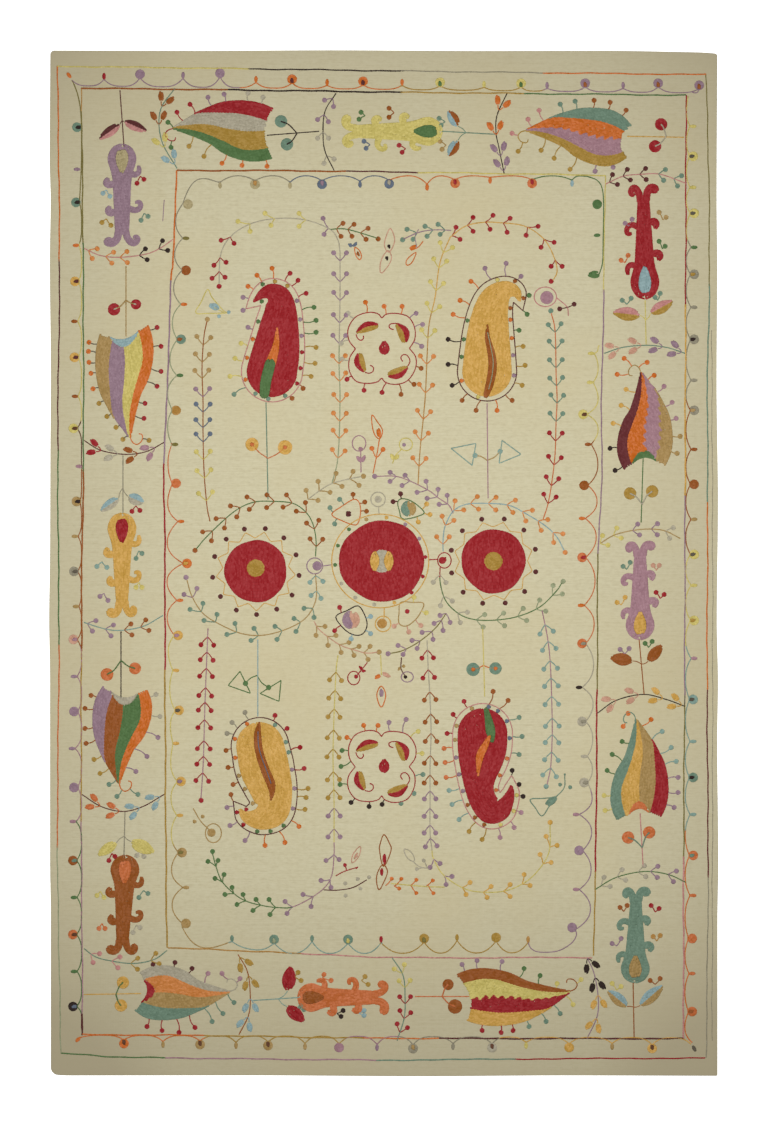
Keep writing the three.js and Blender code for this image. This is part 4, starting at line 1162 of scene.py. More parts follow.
def sewMedallions():
    piece = "medallions"
    for m in medallions:
        x, y = m["middle"]
        rx, ry = m["radius"]
        coreYarn, coreRadius = m["core"]
        coreY = y - m.get("lift", 0)
        turn = np.linspace(0, 2 * math.pi, 160)
        wave = 1 + 0.013 * np.sin(3 * turn + x) + 0.009 * np.sin(7 * turn + y)
        rim = np.stack([x + (rx - 0.8) * wave * np.cos(turn), y + (ry - 0.8) * wave * np.sin(turn)], axis=1)
        sew(piece, "crimson", rim, "fill")
        count = round(2 * rx / stitch["pitch"]) - 2
        for k in range(count):
            shift = ((k + 0.5) / count * 2 - 1) * (rx - 1.6)
            reach = (ry - 1.4) * math.sqrt(1 - (shift / (rx - 0.9)) ** 2)
            hole = math.sqrt(max(coreRadius**2 - shift**2, 0)) - 0.6
            if hole > 0:
                sew(piece, "crimson", smooth([(x + shift, y - reach), (x + shift, coreY - hole)]), "fill")
                sew(piece, "crimson", smooth([(x + shift, coreY + hole), (x + shift, y + reach)]), "fill")
            else:
                sew(piece, "crimson", smooth([(x + shift, y - reach), (x + shift, y + reach)]), "fill")
        dot(piece, coreYarn, x, coreY, coreRadius)
        if m["star"]:
            points = []
            for k in range(m["star"]):
                angle = 2 * math.pi * k / m["star"] + m["turn"]
                half = math.pi / m["star"]
                low = rx + star["inside"], ry + star["inside"]
                points.append((x + low[0] * math.cos(angle - half), y + low[1] * math.sin(angle - half)))
                points.append((x + star["points"] * math.cos(angle), y + star["points"] * math.sin(angle)))
                budX, budY = x + star["buds"] * math.cos(angle), y + star["buds"] * math.sin(angle)
                dot(piece, "maroon", budX, budY, 2.6)
            points.append(points[0])
            sew(piece, "gold", np.vstack([smooth([a, b]) for a, b in zip(points, points[1:])]), "hair")
    cx, cy = medallions[1]["middle"]
    for hand in (-1, 1):
        t = np.linspace(-1, 1, 20)
        outer = np.stack([cx + hand * 11.4 * np.sqrt(1 - (t * 0.8) ** 2), cy + 10.5 * t], axis=1)
        inner = np.stack([cx + hand * (2.5 + 4.0 * t**2), cy + 9.0 * t], axis=1)
        fillBetween(piece, "gold", inner, outer, level=1)
    r = middleRing
    sew(piece, "gold", oval(r["x"], r["y"], r["rx"], r["ry"]), "fine")
    for k, yarn in enumerate(r["buds"]):
        angle = math.radians(r["turn"] + 360 * k / len(r["buds"]))
        inX, inY = r["rx"] - 3.2, r["ry"] - 3.0
        dot(piece, yarn, r["x"] + inX * math.cos(angle), r["y"] + inY * math.sin(angle), 2.2)
    print("medallions", len(medallions))


# Small sprigs, rings, shapes and drops over the field

rings = [  # line yarn, x, y, radius across and along, heart yarn and its shift and radius
    ("silver", 378, 499, 7.3, 7.3, "silver", 0, 0, 3.4),
    ("lavender", 314.7, 565.5, 8, 8, "lavender", 2.5, 0, 4.6),
    ("crimson", 444.3, 560, 6.8, 7.8, "crimson", -2, 0, 3.6),
    ("gold", 383, 623.5, 7.8, 7.8, "ochre", -1, -0.5, 4.8),
    ("mauve", 359, 443, 6.8, 7.8, "mauve", 1.6, 5.8, 2.4),
    ("paleYellow", 405.8, 444, 6.6, 6.4, "lavender", -1.8, 0.4, 2.0),
    ("crimson", 353.7, 677.6, 6.1, 6.8, "crimson", 2.2, -1.4, 2.3),
    ("lavender", 407.2, 676.5, 6.1, 5.2, "nearBlack", -1.8, 0, 1.9),
    ("pink", 545.2, 296.5, 11.2, 9.8, "mauve", 1.5, 0.8, 6.4),
    ("tan", 213.4, 832.7, 8, 9.5, "tan", -2, -0.5, 4.2),
]
drops = [  # yarn, tail, tip, half width, second yarn
    ("crimson", (439.5, 563), (447, 557), 2.4, ""), ("maroon", (345, 513.5), (352, 513.5), 2.8, ""),
    ("mauve", (361, 462), (356.6, 455), 1.8, ""), ("mauve", (361, 462), (365.6, 454.4), 1.8, ""),
    ("orange", (378, 427), (379.5, 438), 2.2, ""), ("paleYellow", (393.5, 460), (391, 452.5), 1.8, ""),
    ("paleYellow", (393.5, 459), (400, 454.5), 1.8, ""), ("crimson", (362, 670), (359, 664.5), 1.5, ""),
    ("crimson", (361, 669.5), (366.5, 671.5), 1.5, ""), ("lavender", (381.4, 697), (381.4, 687.5), 1.9, ""),
    ("orange", (381, 674.5), (373.8, 678.2), 1.8, ""), ("salmon", (381.6, 672), (391, 677), 1.8, ""),
    ("lightBlue", (220, 308), (208.5, 304.5), 3.2, ""), ("salmon", (354, 859.5), (358, 851.5), 1.3, ""),
    ("tan", (401.5, 667), (396.8, 670), 1.5, ""), ("tan", (401.7, 667.4), (405.4, 664.2), 1.4, ""),
    ("slate", (352.5, 247), (348, 242.4), 1.6, ""), ("slate", (352.5, 247), (357.6, 241.4), 1.5, ""),
    ("rust", (357, 250.5), (359.2, 256.5), 1.2, ""),
    ("orange", (409, 249), (417, 245), 1.8, ""), ("teal", (545.5, 805), (557.5, 796), 3.4, ""),
]
outlined = [  # line yarn, points of a closed shape
    ("orange", [(372, 414.5), (377, 421), (382.5, 430), (379.5, 438.5), (374.5, 434), (372, 424)]),
    ("orange", [(331.7, 514.2), (341.7, 506), (353.5, 499), (359, 502), (360.6, 511), (358.5, 521.6),
        (354.7, 524.7), (343.5, 521)]),
    ("green", [(397.6, 503), (399.5, 499), (405.7, 498.6), (414.4, 502.6), (423.8, 511), (422.5, 514),
        (411.9, 517.6), (402, 518.3), (399.5, 511)]),
    ("nearBlack", [(335.8, 616.6), (347.4, 610), (358.2, 605.5), (364.8, 615), (367, 625), (363.2, 633),
        (355.7, 634.8), (345.7, 630)]),
    ("tan", [(400.5, 602), (412, 602), (423.7, 603), (420, 613), (414.6, 620), (406.3, 625.7), (399, 623),
        (399, 612)]),
    ("orange", [(354.6, 247), (359.6, 250.4), (361.4, 256), (359.8, 259.6), (356, 255.6)]),
    ("orange", [(416, 252), (412, 262), (406.5, 265), (407, 259)]),
    ("salmon", [(390.2, 228), (394.5, 238), (393, 246), (388.5, 252), (384.5, 246), (385.5, 238)]),
    ("salmon", [(388.2, 250), (391.5, 258), (387, 267), (380.8, 273), (380.2, 264), (383, 256)]),
    ("rust", [(384, 834), (389, 842), (391, 850), (383.5, 866), (379.5, 850), (380.5, 842)]),
    ("rust", [(383, 864), (387.5, 871), (384, 881), (379, 889.5), (376.4, 880), (378, 871)]),
    ("paleYellow", [(207.7, 289), (212, 297), (224, 311), (226.7, 312.6), (210, 313), (195.8, 312.6),
        (201, 302)]),
    ("teal", [(530, 799), (542, 798), (554.8, 797.7), (549, 806), (541.8, 815.6), (535, 807)]),
    ("orange", [(381.2, 685.6), (384.8, 690.5), (385.4, 697.5), (381.2, 707), (377, 697.5), (377.6, 690.5)]),
    ("salmon", [(351.8, 862.4), (352.4, 855), (356, 849.5), (360.4, 845.6), (360.2, 852), (357, 858.5)]),
    ("silver", [(404.2, 848.6), (409.5, 850.2), (413.6, 855.4), (414.2, 861), (408.6, 858.8), (405, 853.6)]),
]
pinned = {  # which outlined shape, then its buds
    1: {"rust": [(353, 494), (364.7, 501.7), (366.5, 510.8)],
        "teal": [(339.6, 499), (330, 507.3), (334.6, 523.5)]},
    2: {"maroon": [(400.5, 493.4), (393, 501.3)], "gold": [(426.5, 503.6), (430, 514.2), (418.2, 521.6)]},
    3: {"crimson": [(339.6, 607), (334.5, 630.3)], "lightBlue": [(370.6, 616), (370.6, 633.2), (351, 638.5)]},
    4: {"salmon": [(394.2, 625.7), (420.8, 625), (408.8, 631.5)], "paleYellow": [(426.2, 612.4), (414, 597)]},
}
sprigs = [  # yarn, path, kind
    ("silver", [(378.5, 507), (379, 513)], "fine"), ("lavender", [(323, 565.5), (331, 564.5)], "fine"),
    ("crimson", [(429, 559.3), (437.4, 559)], "fine"), ("gold", [(384.2, 607.5), (384, 618)], "fine"),
    ("mauve", [(360.6, 449), (361, 472)], "fine"),
    ("orange", [(379.5, 438), (376.5, 456), (373, 473)], "fine"),
    ("orange", [(371.8, 448), (376.5, 457), (383, 449)], "fine"),
    ("crimson", [(356, 676), (361.4, 669.6), (367.3, 662)], "fine"),
    ("paleYellow", [(401.4, 449), (395.5, 455), (392.5, 463)], "fine"),
    ("paleYellow", [(380.6, 654.7), (381.4, 674.6)], "fine"),
    ("maroon", [(401.4, 657), (401, 668), (405, 675.5)], "fine"),
    ("lavender", [(418.6, 229), (415, 236), (416.8, 247.5)], "hair"),
    ("orange", [(423, 241), (418, 247), (411, 250)], "fine"),
    ("pink", [(556.4, 297.5), (566.8, 306.4), (568.2, 315.4)], "fine"),
    ("maroon", [(560, 308.5), (567.5, 307), (574.5, 304)], "fine"),
    ("paleYellow", [(214, 307), (225, 313)], "hair"),
    ("tan", [(193.2, 808), (200.6, 820.6), (209.7, 829.7)], "fine"),
    ("teal", [(554.8, 797.5), (564, 787.4), (564.7, 775)], "fine"),
    ("crimson", [(335.7, 875.4), (344, 871), (358, 866.6)], "fine"),
    ("maroon", [(323.7, 889.4), (337.5, 889.7), (353, 887), (366.7, 879.4)], "fine"),
    ("silver", [(412.6, 860.8), (420, 866.4), (429.6, 868)], "fine"),
    ("paleYellow", [(444.4, 886.6), (425, 886), (391, 883)], "fine"),
    ("lavender", [(164.2, 199.6), (162.8, 220.7)], "hair"),
]
berries = {  # yarn: x, y, radius
    "maroon": [(559.6, 308.6, 2.5), (574, 303.8, 2.5)], "tan": [(202.6, 816, 2.2), (194.5, 821, 2.2)],
    "lightBlue": [(219, 316, 1.9), (228.8, 312, 1.9)],
    "teal": [(560, 784.2, 2.1), (570, 786.8, 2.3), (564.7, 774, 1.6)],
    "orange": [(371.8, 448, 2.6), (383, 449, 2.6)],
    "crimson": [(407.2, 611, 2.4), (344.8, 864.6, 2.2), (356.4, 867.6, 1.6)],
    "silver": [(345.2, 882.8, 2.2), (345.5, 895, 2.2), (357.6, 878.5, 2.2), (360.3, 888, 2.2),
        (369, 876.8, 2.2), (423.6, 860, 2.2), (416.8, 868.6, 2.2)],
}
balls = [  # yarn, x, y, radius, then the yarn of its other half
    ("lavender", 351, 619.4, 8.6, "salmon"), ("teal", 408.5, 508.3, 7.4, "tan"),
]


def sewSprigs():
    piece = "fieldSprigs"
    for yarn, x, y, rx, ry, heart, dx, dy, r in rings:
        sew(piece, yarn, oval(x, y, rx, ry), "fine")
        dot(piece, heart, x + dx, y + dy, r)
    for yarn, tail, tip, half, second in drops:
        leaf(piece, yarn, tail, tip, half, second=second or None)
    for number, (yarn, points) in enumerate(outlined):
        path = smooth(points, closed=True)
        sew(piece, yarn, path, "fine")
        for pinYarn, places in pinned.get(number, {}).items():
            for x, y in places:
                pin(piece, pinYarn, x, y, path)
    for yarn, path, kind in sprigs:
        openLine(piece, yarn, path, kind)
    for yarn, places in berries.items():
        for x, y, r in places:
            dot(piece, yarn, x, y, r)
    for yarn, x, y, r, other in balls:
        t = np.linspace(-0.98, 0.98, 16)
        left = np.stack([x - r * np.sqrt(1 - t**2), y + r * t], axis=1)
        middle = np.stack([x + 0.2 * r * np.sin(t * 3), y + r * t], axis=1)
        right = np.stack([x + r * np.sqrt(1 - t**2), y + r * t], axis=1)
        fillBetween(piece, yarn, left, middle)
        fillBetween(piece, other, middle, right)
    for x, y in ((432.6, 880), (433.2, 892.6), (416.2, 879.4), (416.2, 892.6), (401.2, 878.4), (399, 888),
                 (391.6, 878.2)):
        stem(piece, "orange", (x - 6 if y < 885 else x - 5, 885.2), (x, y), 0.05)
        dot(piece, "orange", x, y, 2.3)
    for x, y, foot in ((423.6, 860, 427), (416.8, 868.6, 422)):
        stem(piece, "silver", (foot, 867.4), (x, y), 0.05)
    stem(piece, "crimson", (346.5, 870.4), (344.8, 864.6), 0.05)
    for place in ((389, 246.3), (386.8, 258)):
        leaf(piece, "nearBlack", (place[0], place[1] - 3), (place[0], place[1] + 3), 1.5)
    leaf(piece, "crimson", (384.3, 852.5), (384.3, 865), 1.7)
    leaf(piece, "crimson", (381.7, 867), (381.7, 876), 1.5)
    print("small sprigs", len(sprigs) + len(rings) + len(drops))


# Making the stitches: one link of the chain, set along every row by Geometry Nodes

def chainLink():
    # tail at -0.5, head at 0.5, a hollow in its middle like the inside of a loop
    low = [(-0.5, 0), (-0.36, 0.46), (0.34, 0.5), (0.5, 0), (0.34, -0.5), (-0.36, -0.46)]
    top = [(-0.36, 0), (0.08, 0.32), (0.36, 0), (0.08, -0.32)]
    link = bmesh.new()
    ring = [link.verts.new((x, y, 0)) for x, y in low]
    ridge = [link.verts.new((x, y, 1)) for x, y in top]
    dimple = link.verts.new((0.06, 0, 0.62))
    sides = [(0, 0, 1), (1, 0, None), (1, 1, 2), (2, 1, None), (2, 2, 3), (3, 2, 4), (4, 2, None), (4, 3, 5),
             (5, 3, None), (5, 0, 0)]
    follow = {0: 1, 1: 2, 2: 3, 3: 0}
    for base, crest, other in sides:
        third = ridge[follow[crest]] if other is None else ring[other]
        link.faces.new([ring[base], ridge[crest], third])
    for k in range(4):
        link.faces.new([ridge[k], ridge[follow[k]], dimple])
    link.faces.new(ring)
    bmesh.ops.recalc_face_normals(link, faces=link.faces)
    bmesh.ops.triangulate(link, faces=[f for f in link.faces if len(f.verts) > 4])
    for face in link.faces:
        face.smooth = True
    mesh = bpy.data.meshes.new("chainLink")
    link.to_mesh(mesh)
    link.free()
    return bpy.data.objects.new("chainLink", mesh)


def chainStitchTree():
    tree = bpy.data.node_groups.new("chainStitch", "GeometryNodeTree")
    sockets = {}
    for name, kind, value in (
            ("Threads", "NodeSocketGeometry", None), ("Link", "NodeSocketObject", None),
            ("Stitch length", "NodeSocketFloat", 0.0067), ("Stitch width", "NodeSocketFloat", 0.0036),
            ("Stitch rise", "NodeSocketFloat", stitch["rise"]),
            ("Overlap", "NodeSocketFloat", stitch["overlap"]),
            ("Uneven", "NodeSocketFloat", stitch["uneven"]), ("Seed", "NodeSocketInt", 1),
            ("Yarn", "NodeSocketMaterial", None)):
        socket = tree.interface.new_socket(name=name, in_out="INPUT", socket_type=kind)
        if value is not None:
            socket.default_value = value
        sockets[name] = socket.identifier
    tree.interface.new_socket(name="Embroidery", in_out="OUTPUT", socket_type="NodeSocketGeometry")

    def add(kind, **settings):
        node = tree.nodes.new(kind)
        for key, value in settings.items():
            setattr(node, key, value)
        return node

    def join(source, target):
        tree.links.new(source, target)

    def calc(operation, first, second=None):
        node = add("ShaderNodeMath", operation=operation)
        for socket, value in zip(node.inputs, (first, second)):
            if value is None:
                continue
            if isinstance(value, (int, float)):
                socket.default_value = value
            else:
                join(value, socket)
        return node.outputs[0]

    given = add("NodeGroupInput").outputs
    lengthOf = add("GeometryNodeSplineLength").outputs["Length"]
    count = calc("MAXIMUM", calc("ROUND", calc("DIVIDE", lengthOf, given["Stitch length"])), 1)
    resample = add("GeometryNodeResampleCurve", mode="COUNT")
    join(given["Threads"], resample.inputs["Curve"])
    join(calc("ADD", count, 1), resample.inputs["Count"])
    wire = add("GeometryNodeCurveToMesh")
    join(resample.outputs["Curve"], wire.inputs["Curve"])
    ends = add("GeometryNodeInputMeshEdgeVertices")
    step = add("ShaderNodeVectorMath", operation="SUBTRACT")
    join(ends.outputs["Position 2"], step.inputs[0])
    join(ends.outputs["Position 1"], step.inputs[1])
    keep = add("GeometryNodeCaptureAttribute", domain="EDGE")
    keep.capture_items.new("VECTOR", "Step")
    join(wire.outputs["Mesh"], keep.inputs["Geometry"])
    join(step.outputs[0], keep.inputs["Step"])
    spots = add("GeometryNodeMeshToPoints", mode="EDGES")
    join(keep.outputs["Geometry"], spots.inputs["Mesh"])
    aim = add("FunctionNodeAlignRotationToVector", axis="X", pivot_axis="Z")
    join(keep.outputs["Step"], aim.inputs["Vector"])
    reach = add("ShaderNodeVectorMath", operation="LENGTH")
    join(keep.outputs["Step"], reach.inputs[0])

    def chance(low, high, seed):
        node = add("FunctionNodeRandomValue", data_type="FLOAT")
        for name, value in (("Min", low), ("Max", high)):
            socket = next(s for s in node.inputs if s.name == name and s.type == "VALUE")
            if isinstance(value, (int, float)):
                socket.default_value = value
            else:
                join(value, socket)
        join(calc("ADD", given["Seed"], seed), node.inputs["Seed"])
        return next(s for s in node.outputs if s.type == "VALUE")

    size = add("ShaderNodeCombineXYZ")
    join(calc("MULTIPLY", reach.outputs["Value"], calc("ADD", given["Overlap"], 1.0)), size.inputs["X"])
    spread = chance(calc("SUBTRACT", 1.0, given["Uneven"]), calc("ADD", 1.0, given["Uneven"]), 3)
    join(calc("MULTIPLY", given["Stitch width"], spread), size.inputs["Y"])
    join(calc("MULTIPLY", given["Stitch rise"], chance(0.8, 1.1, 5)), size.inputs["Z"])
    linkInfo = add("GeometryNodeObjectInfo")
    join(given["Link"], linkInfo.inputs["Object"])
    place = add("GeometryNodeInstanceOnPoints")
    join(spots.outputs["Points"], place.inputs["Points"])
    join(linkInfo.outputs["Geometry"], place.inputs["Instance"])
    join(aim.outputs["Rotation"], place.inputs["Rotation"])
    join(size.outputs["Vector"], place.inputs["Scale"])
    sway = add("GeometryNodeRotateInstances")
    swayAngle = add("ShaderNodeCombineXYZ")
    join(chance(-0.07, 0.07, 7), swayAngle.inputs["Z"])
    join(place.outputs["Instances"], sway.inputs["Instances"])
    join(swayAngle.outputs["Vector"], sway.inputs["Rotation"])
    shade = add("GeometryNodeStoreNamedAttribute", data_type="FLOAT", domain="INSTANCE")
    shade.inputs["Name"].default_value = "shade"
    join(sway.outputs["Instances"], shade.inputs["Geometry"])
    join(chance(0.0, 1.0, 11), next(s for s in shade.inputs if s.name == "Value" and s.type == "VALUE"))
    real = add("GeometryNodeRealizeInstances")
    join(shade.outputs["Geometry"], real.inputs["Geometry"])
    dress = add("GeometryNodeSetMaterial")
    join(real.outputs["Geometry"], dress.inputs["Geometry"])
    join(given["Yarn"], dress.inputs["Material"])
    join(dress.outputs["Geometry"], add("NodeGroupOutput").inputs["Embroidery"])
    return tree, sockets


# The cloth: a flat, slightly wavy kilim with rounded rims and thicker selvedges

cloth = {
    "thickness": 0.0020,
    "cell": 0.021,
    "rimSteps": (0.0, 0.0012, 0.0026, 0.0045, 0.008, 0.011, 0.014, 0.018, 0.026),
    "selvedge": (0.0125, 0.0035, 0.00035),  # distance in, half width, rise
    "corners": {"topLeft": 4.0, "topRight": 2.5, "bottomLeft": 6.5, "bottomRight": 1.5},  # layout units
    # where each side lies, in layout units
    "left": [(50, 50.3), (160, 49.7), (200, 50.6), (260, 49.8), (380, 50.8), (440, 50.4), (560, 49.9),
        (620, 49.1), (680, 50.0), (860, 50.0), (920, 50.8), (1075, 50.8)],
    "right": [(50, 717.3), (200, 716.6), (260, 717.2), (380, 716.6), (500, 718.0), (620, 716.8), (680, 718.0),
        (740, 717.2), (860, 718.3), (920, 717.4), (1075, 717.4)],
    "top": [(50, 50.2), (200, 50.5), (330, 49.9), (480, 50.6), (600, 50.4), (680, 51.6), (706, 52.3),
        (717, 53.4)],
    "bottom": [(50, 1073.6), (64, 1075.0), (250, 1074.9), (420, 1075.8), (560, 1075.0), (717, 1075.4)],
}


def clothTop(x, y):
    # height of the cloth's face, metres
    ripple = 0.00022 * np.sin(7.3 * x + 1.1) * np.sin(5.1 * y + 0.6)
    ripple += 0.00012 * np.sin(19.0 * x + 7.0 * y) + 0.00010 * np.sin(31.0 * y - 3.0 * x)
    return cloth["thickness"] + ripple


def stations(size):
    rim = np.array(cloth["rimSteps"])
    inner = np.linspace(rim[-1], size - rim[-1], max(2, int((size - 2 * rim[-1]) / cloth["cell"])))
    return np.concatenate([rim[:-1], inner, size - rim[:-1][::-1]])


def roundedCorner(x, y, cornerX, cornerY, radius):
    # draws a square corner in to a round one
    inX, inY = abs(x - cornerX), abs(y - cornerY)
    near = (inX < radius) & (inY < radius)
    p, q = (radius - inX) / radius, (radius - inY) / radius
    newX = radius * (1 - p * np.sqrt(np.maximum(1 - q * q / 2, 0)))
    newY = radius * (1 - q * np.sqrt(np.maximum(1 - p * p / 2, 0)))
    signX, signY = np.sign(layoutMiddle[0] - cornerX), np.sign(layoutMiddle[1] - cornerY)
    return np.where(near, cornerX + signX * newX, x), np.where(near, cornerY + signY * newY, y)


def makeCloth():
    width = (layout["right"] - layout["left"]) * unit
    height = (layout["bottom"] - layout["top"]) * unit
    s, t = stations(width), stations(height)
    over, down = np.meshgrid(s, t)
    share, drop = over / width, down / height
    flatX = layout["left"] + share * (layout["right"] - layout["left"])
    flatY = layout["top"] + drop * (layout["bottom"] - layout["top"])
    flatCorners = {"topLeft": ("left", "top"), "topRight": ("right", "top"),
                   "bottomLeft": ("left", "bottom"), "bottomRight": ("right", "bottom")}
    for name, (sideX, sideY) in flatCorners.items():
        flatX, flatY = roundedCorner(flatX, flatY, layout[sideX], layout[sideY], cloth["corners"][name])
    shareX = (flatX - layout["left"]) / (layout["right"] - layout["left"])
    shareY = (flatY - layout["top"]) / (layout["bottom"] - layout["top"])
    left, right = fair(cloth["left"], flatY), fair(cloth["right"], flatY)
    top, bottom = fair(cloth["top"], flatX), fair(cloth["bottom"], flatX)
    place = toMetres(np.stack([left + shareX * (right - left), top + shareY * (bottom - top)], axis=-1))
    edge = np.minimum(np.minimum(over, width - over), np.minimum(down, height - down))
    side = np.minimum(over, width - over)
    rim = np.sqrt(np.clip(1 - (1 - np.minimum(edge / 0.0028, 1)) ** 2, 0, 1))
    selvedgeAt, selvedgeHalf, selvedgeRise = cloth["selvedge"]
    rib = selvedgeRise * np.exp(-(((side - selvedgeAt) / selvedgeHalf) ** 2))
    topZ = 0.0009 + (clothTop(place[..., 0], place[..., 1]) - 0.0009) * rim + rib
    rowsCount, columnsCount = over.shape
    upper = np.concatenate([place, topZ[..., None]], axis=-1).reshape(-1, 3)
    lowerPlace = place[1:-1, 1:-1]
    lower = np.concatenate([lowerPlace, np.zeros(lowerPlace.shape[:2] + (1,))], axis=-1).reshape(-1, 3)
    index = np.arange(rowsCount * columnsCount).reshape(rowsCount, columnsCount)
    under = index.copy()
    inner = np.arange(len(lower)).reshape(rowsCount - 2, columnsCount - 2)
    under[1:-1, 1:-1] = rowsCount * columnsCount + inner
    faces = []
    for grid, flip in ((index, False), (under, True)):
        quads = np.stack([grid[:-1, :-1], grid[1:, :-1], grid[1:, 1:], grid[:-1, 1:]], axis=-1).reshape(-1, 4)
        faces += [q[::-1] if flip else q for q in quads.tolist()]
    mesh = bpy.data.meshes.new("ground")
    mesh.from_pydata(np.vstack([upper, lower]).tolist(), [], faces)
    mesh.polygons.foreach_set("use_smooth", [True] * len(mesh.polygons))
    ground = bpy.data.objects.new("ground", mesh)
    bpy.context.collection.objects.link(ground)
    return ground


# Materials

def linear(colour):
    out = []
    for value in colour:
        value /= 255
        out.append(value / 12.92 if value <= 0.04045 else ((value + 0.055) / 1.055) ** 2.4)
    return (*out, 1.0)


class Nodes:
    def __init__(self, tree):
        self.tree = tree

    def add(self, kind, inputs=None, **settings):
        node = self.tree.nodes.new(kind)
        for key, value in settings.items():
            setattr(node, key, value)
        for key, value in (inputs or {}).items():
            self.put(node.inputs[key], value)
        return node

    def put(self, socket, value):
        if isinstance(value, bpy.types.NodeSocket):
            self.tree.links.new(value, socket)
        else:
            socket.default_value = value

    def calc(self, operation, first, second=None, third=None):
        node = self.add("ShaderNodeMath", operation=operation)
        for socket, value in zip(node.inputs, (first, second, third)):
            if value is not None:
                self.put(socket, value)
        return node.outputs[0]

    def noise(self, vector, scale, stretch=(1, 1, 1), detail=3.0, rough=0.55, offset=(0, 0, 0)):
        moved = self.add("ShaderNodeMapping", {"Vector": vector, "Scale": stretch, "Location": offset})
        node = self.add("ShaderNodeTexNoise", {"Vector": moved.outputs[0], "Scale": scale, "Detail": detail,
                                               "Roughness": rough})
        return node.outputs["Fac"]

    def remap(self, value, low, high, toLow=0.0, toHigh=1.0):
        node = self.add("ShaderNodeMapRange", {"Value": value, "From Min": low, "From Max": high,
                                               "To Min": toLow, "To Max": toHigh})
        node.clamp = True
        return node.outputs[0]

    def blend(self, share, first, second, mode="MIX"):
        node = self.add("ShaderNodeMix", data_type="RGBA", blend_type=mode)
        for key, value in (("Factor_Float", share), ("A_Color", first), ("B_Color", second)):
            socket = next(s for s in node.inputs if s.identifier == key)
            self.put(socket, value)
        return next(s for s in node.outputs if s.identifier == "Result_Color")


def newGroup(name, inputs, outputs):
    tree = bpy.data.node_groups.new(name, "ShaderNodeTree")
    for label, kind, value in inputs:
        socket = tree.interface.new_socket(name=label, in_out="INPUT", socket_type=kind)
        if value is not None:
            socket.default_value = value
    for label, kind in outputs:
        tree.interface.new_socket(name=label, in_out="OUTPUT", socket_type=kind)
    nodes = Nodes(tree)
    given = nodes.add("NodeGroupInput").outputs
    out = nodes.add("NodeGroupOutput")
    return tree, nodes, given, out


def woolHeatherGroup():
    # hand dyed wool: each stitch a little lighter or darker, the dye uneven along the field
    tree, n, given, out = newGroup("woolHeather", [
        ("Vector", "NodeSocketVector", None), ("Dye", "NodeSocketColor", None),
        ("Stitch shade", "NodeSocketFloat", 0.5), ("Variation", "NodeSocketFloat", 0.22)],
        [("Color", "NodeSocketColor")])
    broad = n.noise(given["Vector"], 22.0, detail=2.0)
    fibre = n.noise(given["Vector"], 900.0, detail=2.0)
    mixed = n.calc("ADD", n.calc("MULTIPLY", given["Stitch shade"], 0.55), n.calc("MULTIPLY", broad, 0.55))
    mixed = n.calc("ADD", mixed, n.calc("MULTIPLY", n.calc("SUBTRACT", fibre, 0.5), 0.5))
    swing = n.calc("MULTIPLY", n.calc("SUBTRACT", mixed, 0.55), given["Variation"])
    value = n.calc("ADD", 1.0, n.calc("MULTIPLY", swing, 2.0))
    depth = n.calc("SUBTRACT", 1.0, n.calc("MULTIPLY", swing, 0.6))
    tone = n.add("ShaderNodeHueSaturation", {"Color": given["Dye"], "Value": value, "Saturation": depth})
    n.put(out.inputs["Color"], tone.outputs[0])
    return tree


def yarnPlyGroup():
    # the twist and fuzz of the yarn, as a height
    tree, n, given, out = newGroup("yarnPly", [
        ("Vector", "NodeSocketVector", None), ("Scale", "NodeSocketFloat", 1.0)],
        [("Height", "NodeSocketFloat")])
    scaled = n.add("ShaderNodeVectorMath", operation="SCALE")
    n.put(scaled.inputs[0], given["Vector"])
    n.put(scaled.inputs["Scale"], given["Scale"])
    ply = n.noise(scaled.outputs[0], 700.0, detail=2.0)
    fuzz = n.noise(scaled.outputs[0], 2600.0, detail=1.0)
    n.put(out.inputs["Height"], n.calc("ADD", ply, n.calc("MULTIPLY", fuzz, 0.5)))
    return tree


